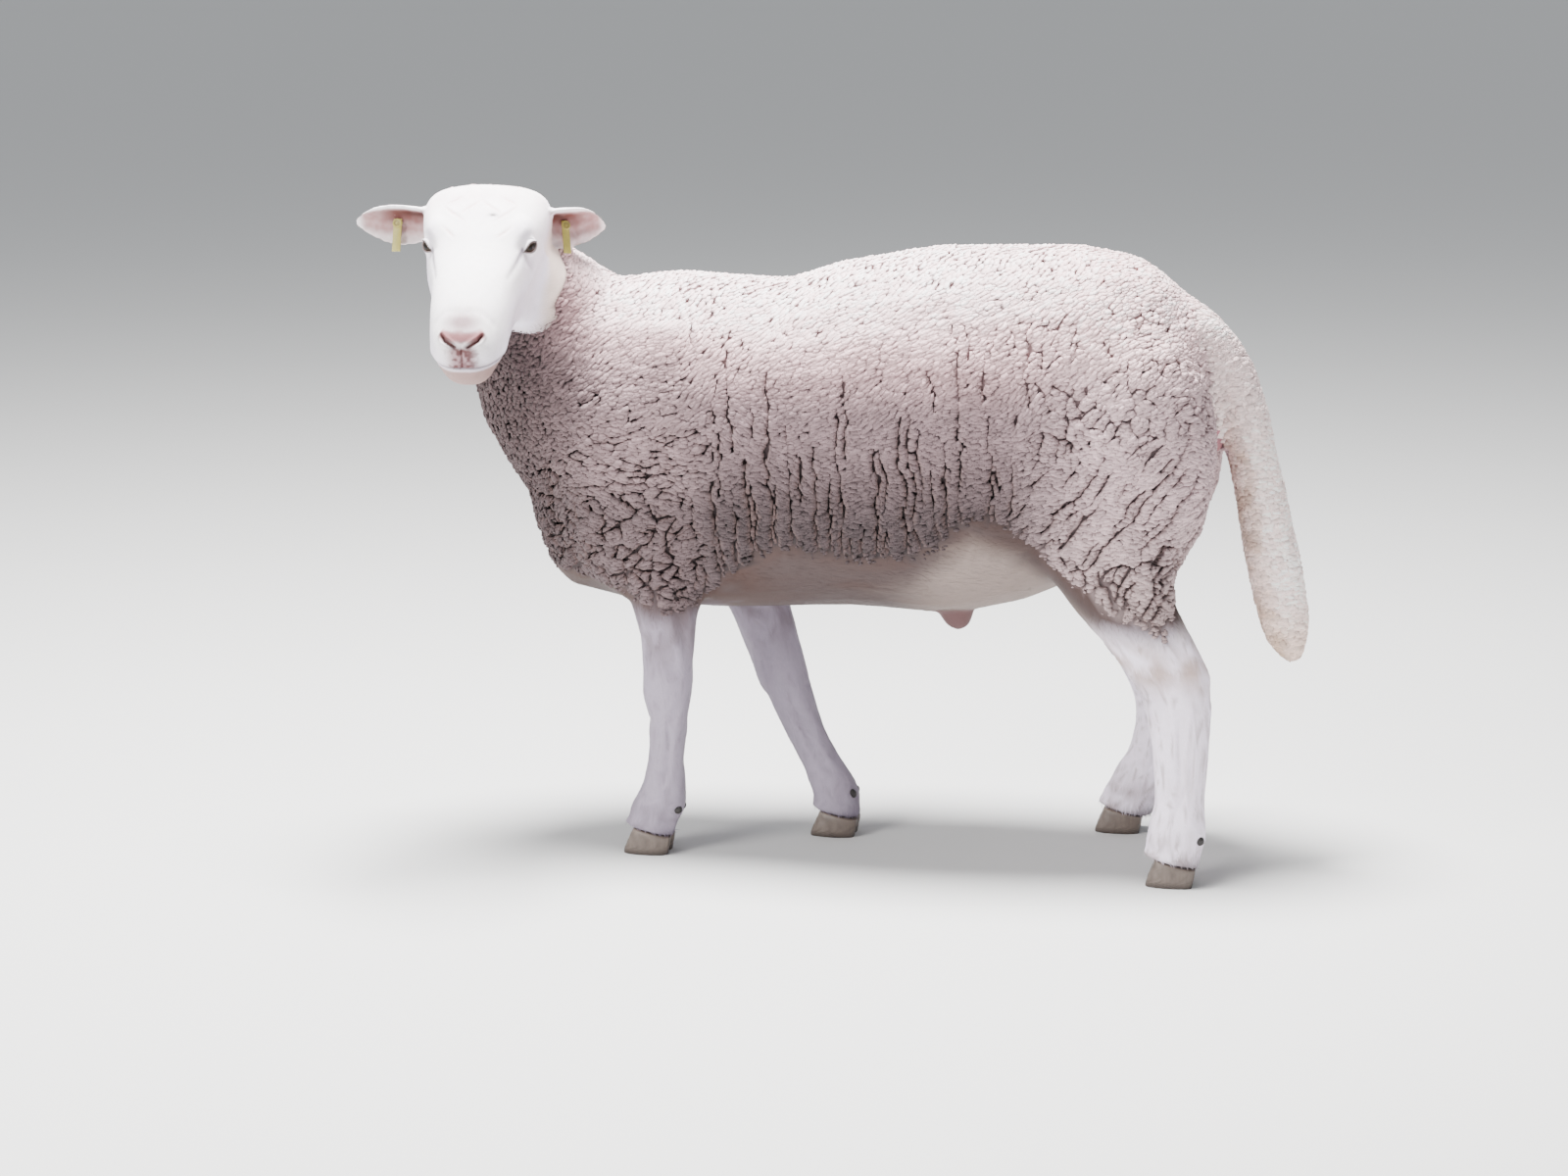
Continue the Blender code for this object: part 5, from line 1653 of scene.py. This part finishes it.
def grow_hair(roots, salt):
    """The points and tints of a tuft of hair at each root, and its place on the hide's map."""
    root, normal = roots["place"], unit(roots["facing"])
    count = len(root)
    parts = part_of(root)
    lie, across = turned(hair_lie(root, normal, parts), normal, (chance(count, salt) - 0.5) * 0.7)
    length, off = hair_size(root, parts)
    length = length * (0.7 + 0.6 * chance(count, salt + 1)) * (0.4 + 0.6 * roots["share"])
    off = off * length * (0.6 + 0.8 * chance(count, salt + 2))
    half = 0.045 * length + 0.00015
    turn = np.arange(HAIR_SIDES) / HAIR_SIDES * 2 * np.pi - np.pi / 2
    rings = []
    for along, height, girth in ((-0.05, np.full(count, -0.0002), 0.8), (0.45, 0.6 * off, 1.0)):
        centre = root + lie * (along * length)[:, None] + normal * height[:, None]
        rings.append(oval(centre, turn, across, girth * half, normal, 0.12 * girth * half))
    tip = root + lie * length[:, None] + normal * off[:, None]
    points = np.concatenate(rings + [tip[:, None]], axis=1)
    shade = np.repeat(HAIR_PAINTED_LIGHT, (HAIR_SIDES,) * HAIR_STEPS + (1,))
    own = 0.95 + 0.10 * chance(count, salt + 3)
    tints = roots["colour"][:, None] * shade[None, :, None] * own[:, None, None]
    return points, np.clip(tints, 0, 1), hide_map(root, parts)


normals = outward(skin.data)
bare = 1 - ramp(wool, 0.25, 0.60)
head = face_share(coat_outline, skin_parts)
# No hair on the bare nose, in the nostrils, on the line of the mouth or in the eyes.
q = folded(in_head(coat_outline))
clear = ramp(from_line(q, NOSE_PAD)[0], 0.0075, 0.0115) * ramp(from_line(q, NOSTRIL)[0], 0.003, 0.006)
clear = clear * ramp(np.abs(q[:, 2] - mouth_level(q[:, 0])), 0.0015, 0.0030) + (q[:, 0] < 0.2)
clear = np.clip(clear, 0, 1) * (1 - ramp(eye_gap, -0.0030, -0.0014))
ear_inside = is_part(skin_parts, *EARS) * ramp(normals @ np.array(head_level), 0.05, 0.45)
legs = is_part(skin_parts, *LEGS)
under_tail = (coat_outline[:, 0] - CHEST > 0.76) & (coat_outline[:, 2] > 0.42)
body = (1 - head) * bare
zones = {"hair_head": (HEAD_PITCH, head * clear * (1 - 0.75 * ear_inside)),
         "hair_legs": (LEG_PITCH, body * legs * ~under_tail),
         "hair_belly": (BELLY_PITCH, body * ~legs * ~under_tail * ~is_part(skin_parts, "tail", "sheath"))}
HAIR = finish("short_hair", 0.006, 0.06, 0.0008, 0.0002, 0.70, Sheen_Weight=0.05, Specular_IOR_Level=0.2)
hide_tint = numbers(skin.data.color_attributes["tint"].data, "color", 4)[:, :3]
for seed, (name, (pitch, density)) in enumerate(zones.items()):
    found = scatter(inner_places, pitch, 11 + seed, colour=hide_tint, facing=normals,
                    share=np.clip(density, 0, 1), density=density)
    hairs, hair_tints, hair_maps = grow_hair(found, 500 + 10 * seed)
    place = found["place"]
    left = in_head(place)[:, 1] > 0 if name == "hair_head" else place[:, 1] < MIDLINE
    halves = {name + "_left": left, name + "_right": ~left}
    if name == "hair_belly":
        halves = {name: np.ones(len(hairs), dtype=bool)}
    for piece_name, chosen in halves.items():
        coat = joined_tufts(piece_name, hairs[chosen], hair_tints[chosen], hair_maps[chosen], HAIR_SIDES,
                            HAIR_STEPS)
        coat.data.shade_flat()
        clad(coat, HAIR)
        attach(coat, "root")
        "face_hair" if "head" in name else "leg_hair"


# ---------------------------------------------------------------- floor, lamps and camera
# A plain pale floor under a pale sky, a large soft lamp above and a weaker one in front. The camera stands
# on the ram's left, a little towards its tail, and looks slightly down on it.

CAMERA_AZIMUTH = math.radians(10)
CAMERA_HEIGHT = math.radians(11)
CAMERA_REACH = 4.5
CAMERA_AIM = Vector((-0.0682, 0.0616, 0.33))
CAMERA_LENS = 81.0
SENSOR_WIDTH = 36.0
FLOOR_REACH = 60.0
FLOOR_GREY = (0.60, 0.60, 0.595, 1)
FLOOR_ROUGHNESS = 0.9
SKY_COLOUR = (0.90, 0.93, 0.97, 1)
SKY_STRENGTH = 0.68
LAMP_AIM = Vector((0, 0, 0.4))
# Each lamp's place, width, power in watts and colour.
LAMPS = {"overhead_lamp": ((-0.3, 0.1, 3.6), 1.4, 770, (1.0, 0.99, 0.98)),
         "front_lamp": ((-2.6, -3.2, 2.6), 2.0, 220, (1.0, 0.985, 0.97))}


def stand(name, data, place, aim):
    made = bpy.data.objects.new(name, data)
    bpy.context.scene.collection.objects.link(made)
    made.location = place
    made.rotation_mode = "QUATERNION"
    made.rotation_quaternion = (aim - Vector(place)).to_track_quat("-Z", "Y")
    return made


bpy.ops.mesh.primitive_circle_add(vertices=64, radius=FLOOR_REACH, fill_type="NGON")
floor = bpy.context.object
floor.name = "floor"
floor_paint = bpy.data.materials.new("floor_paint")
floor_paint.use_nodes = True
floor_shader = floor_paint.node_tree.nodes["Principled BSDF"]
floor_shader.inputs["Base Color"].default_value = FLOOR_GREY
floor_shader.inputs["Roughness"].default_value = FLOOR_ROUGHNESS
floor.data.materials.append(floor_paint)

world = bpy.data.worlds.new("pale_sky")
world.use_nodes = True
sky = world.node_tree.nodes["Background"]
sky.inputs["Color"].default_value = SKY_COLOUR
sky.inputs["Strength"].default_value = SKY_STRENGTH
bpy.context.scene.world = world

for name, (place, width, power, colour) in LAMPS.items():
    lamp = bpy.data.lights.new(name, "AREA")
    lamp.shape = "DISK"
    lamp.size = width
    lamp.energy = power
    lamp.color = colour
    stand(name, lamp, place, LAMP_AIM)

camera_data = bpy.data.cameras.new("camera")
camera_data.lens = CAMERA_LENS
camera_data.sensor_width = SENSOR_WIDTH
camera_back = Vector((math.sin(CAMERA_AZIMUTH) * math.cos(CAMERA_HEIGHT),
                      -math.cos(CAMERA_AZIMUTH) * math.cos(CAMERA_HEIGHT), math.sin(CAMERA_HEIGHT)))
camera = stand("camera", camera_data, CAMERA_AIM + camera_back * CAMERA_REACH, CAMERA_AIM)
bpy.context.scene.camera = camera
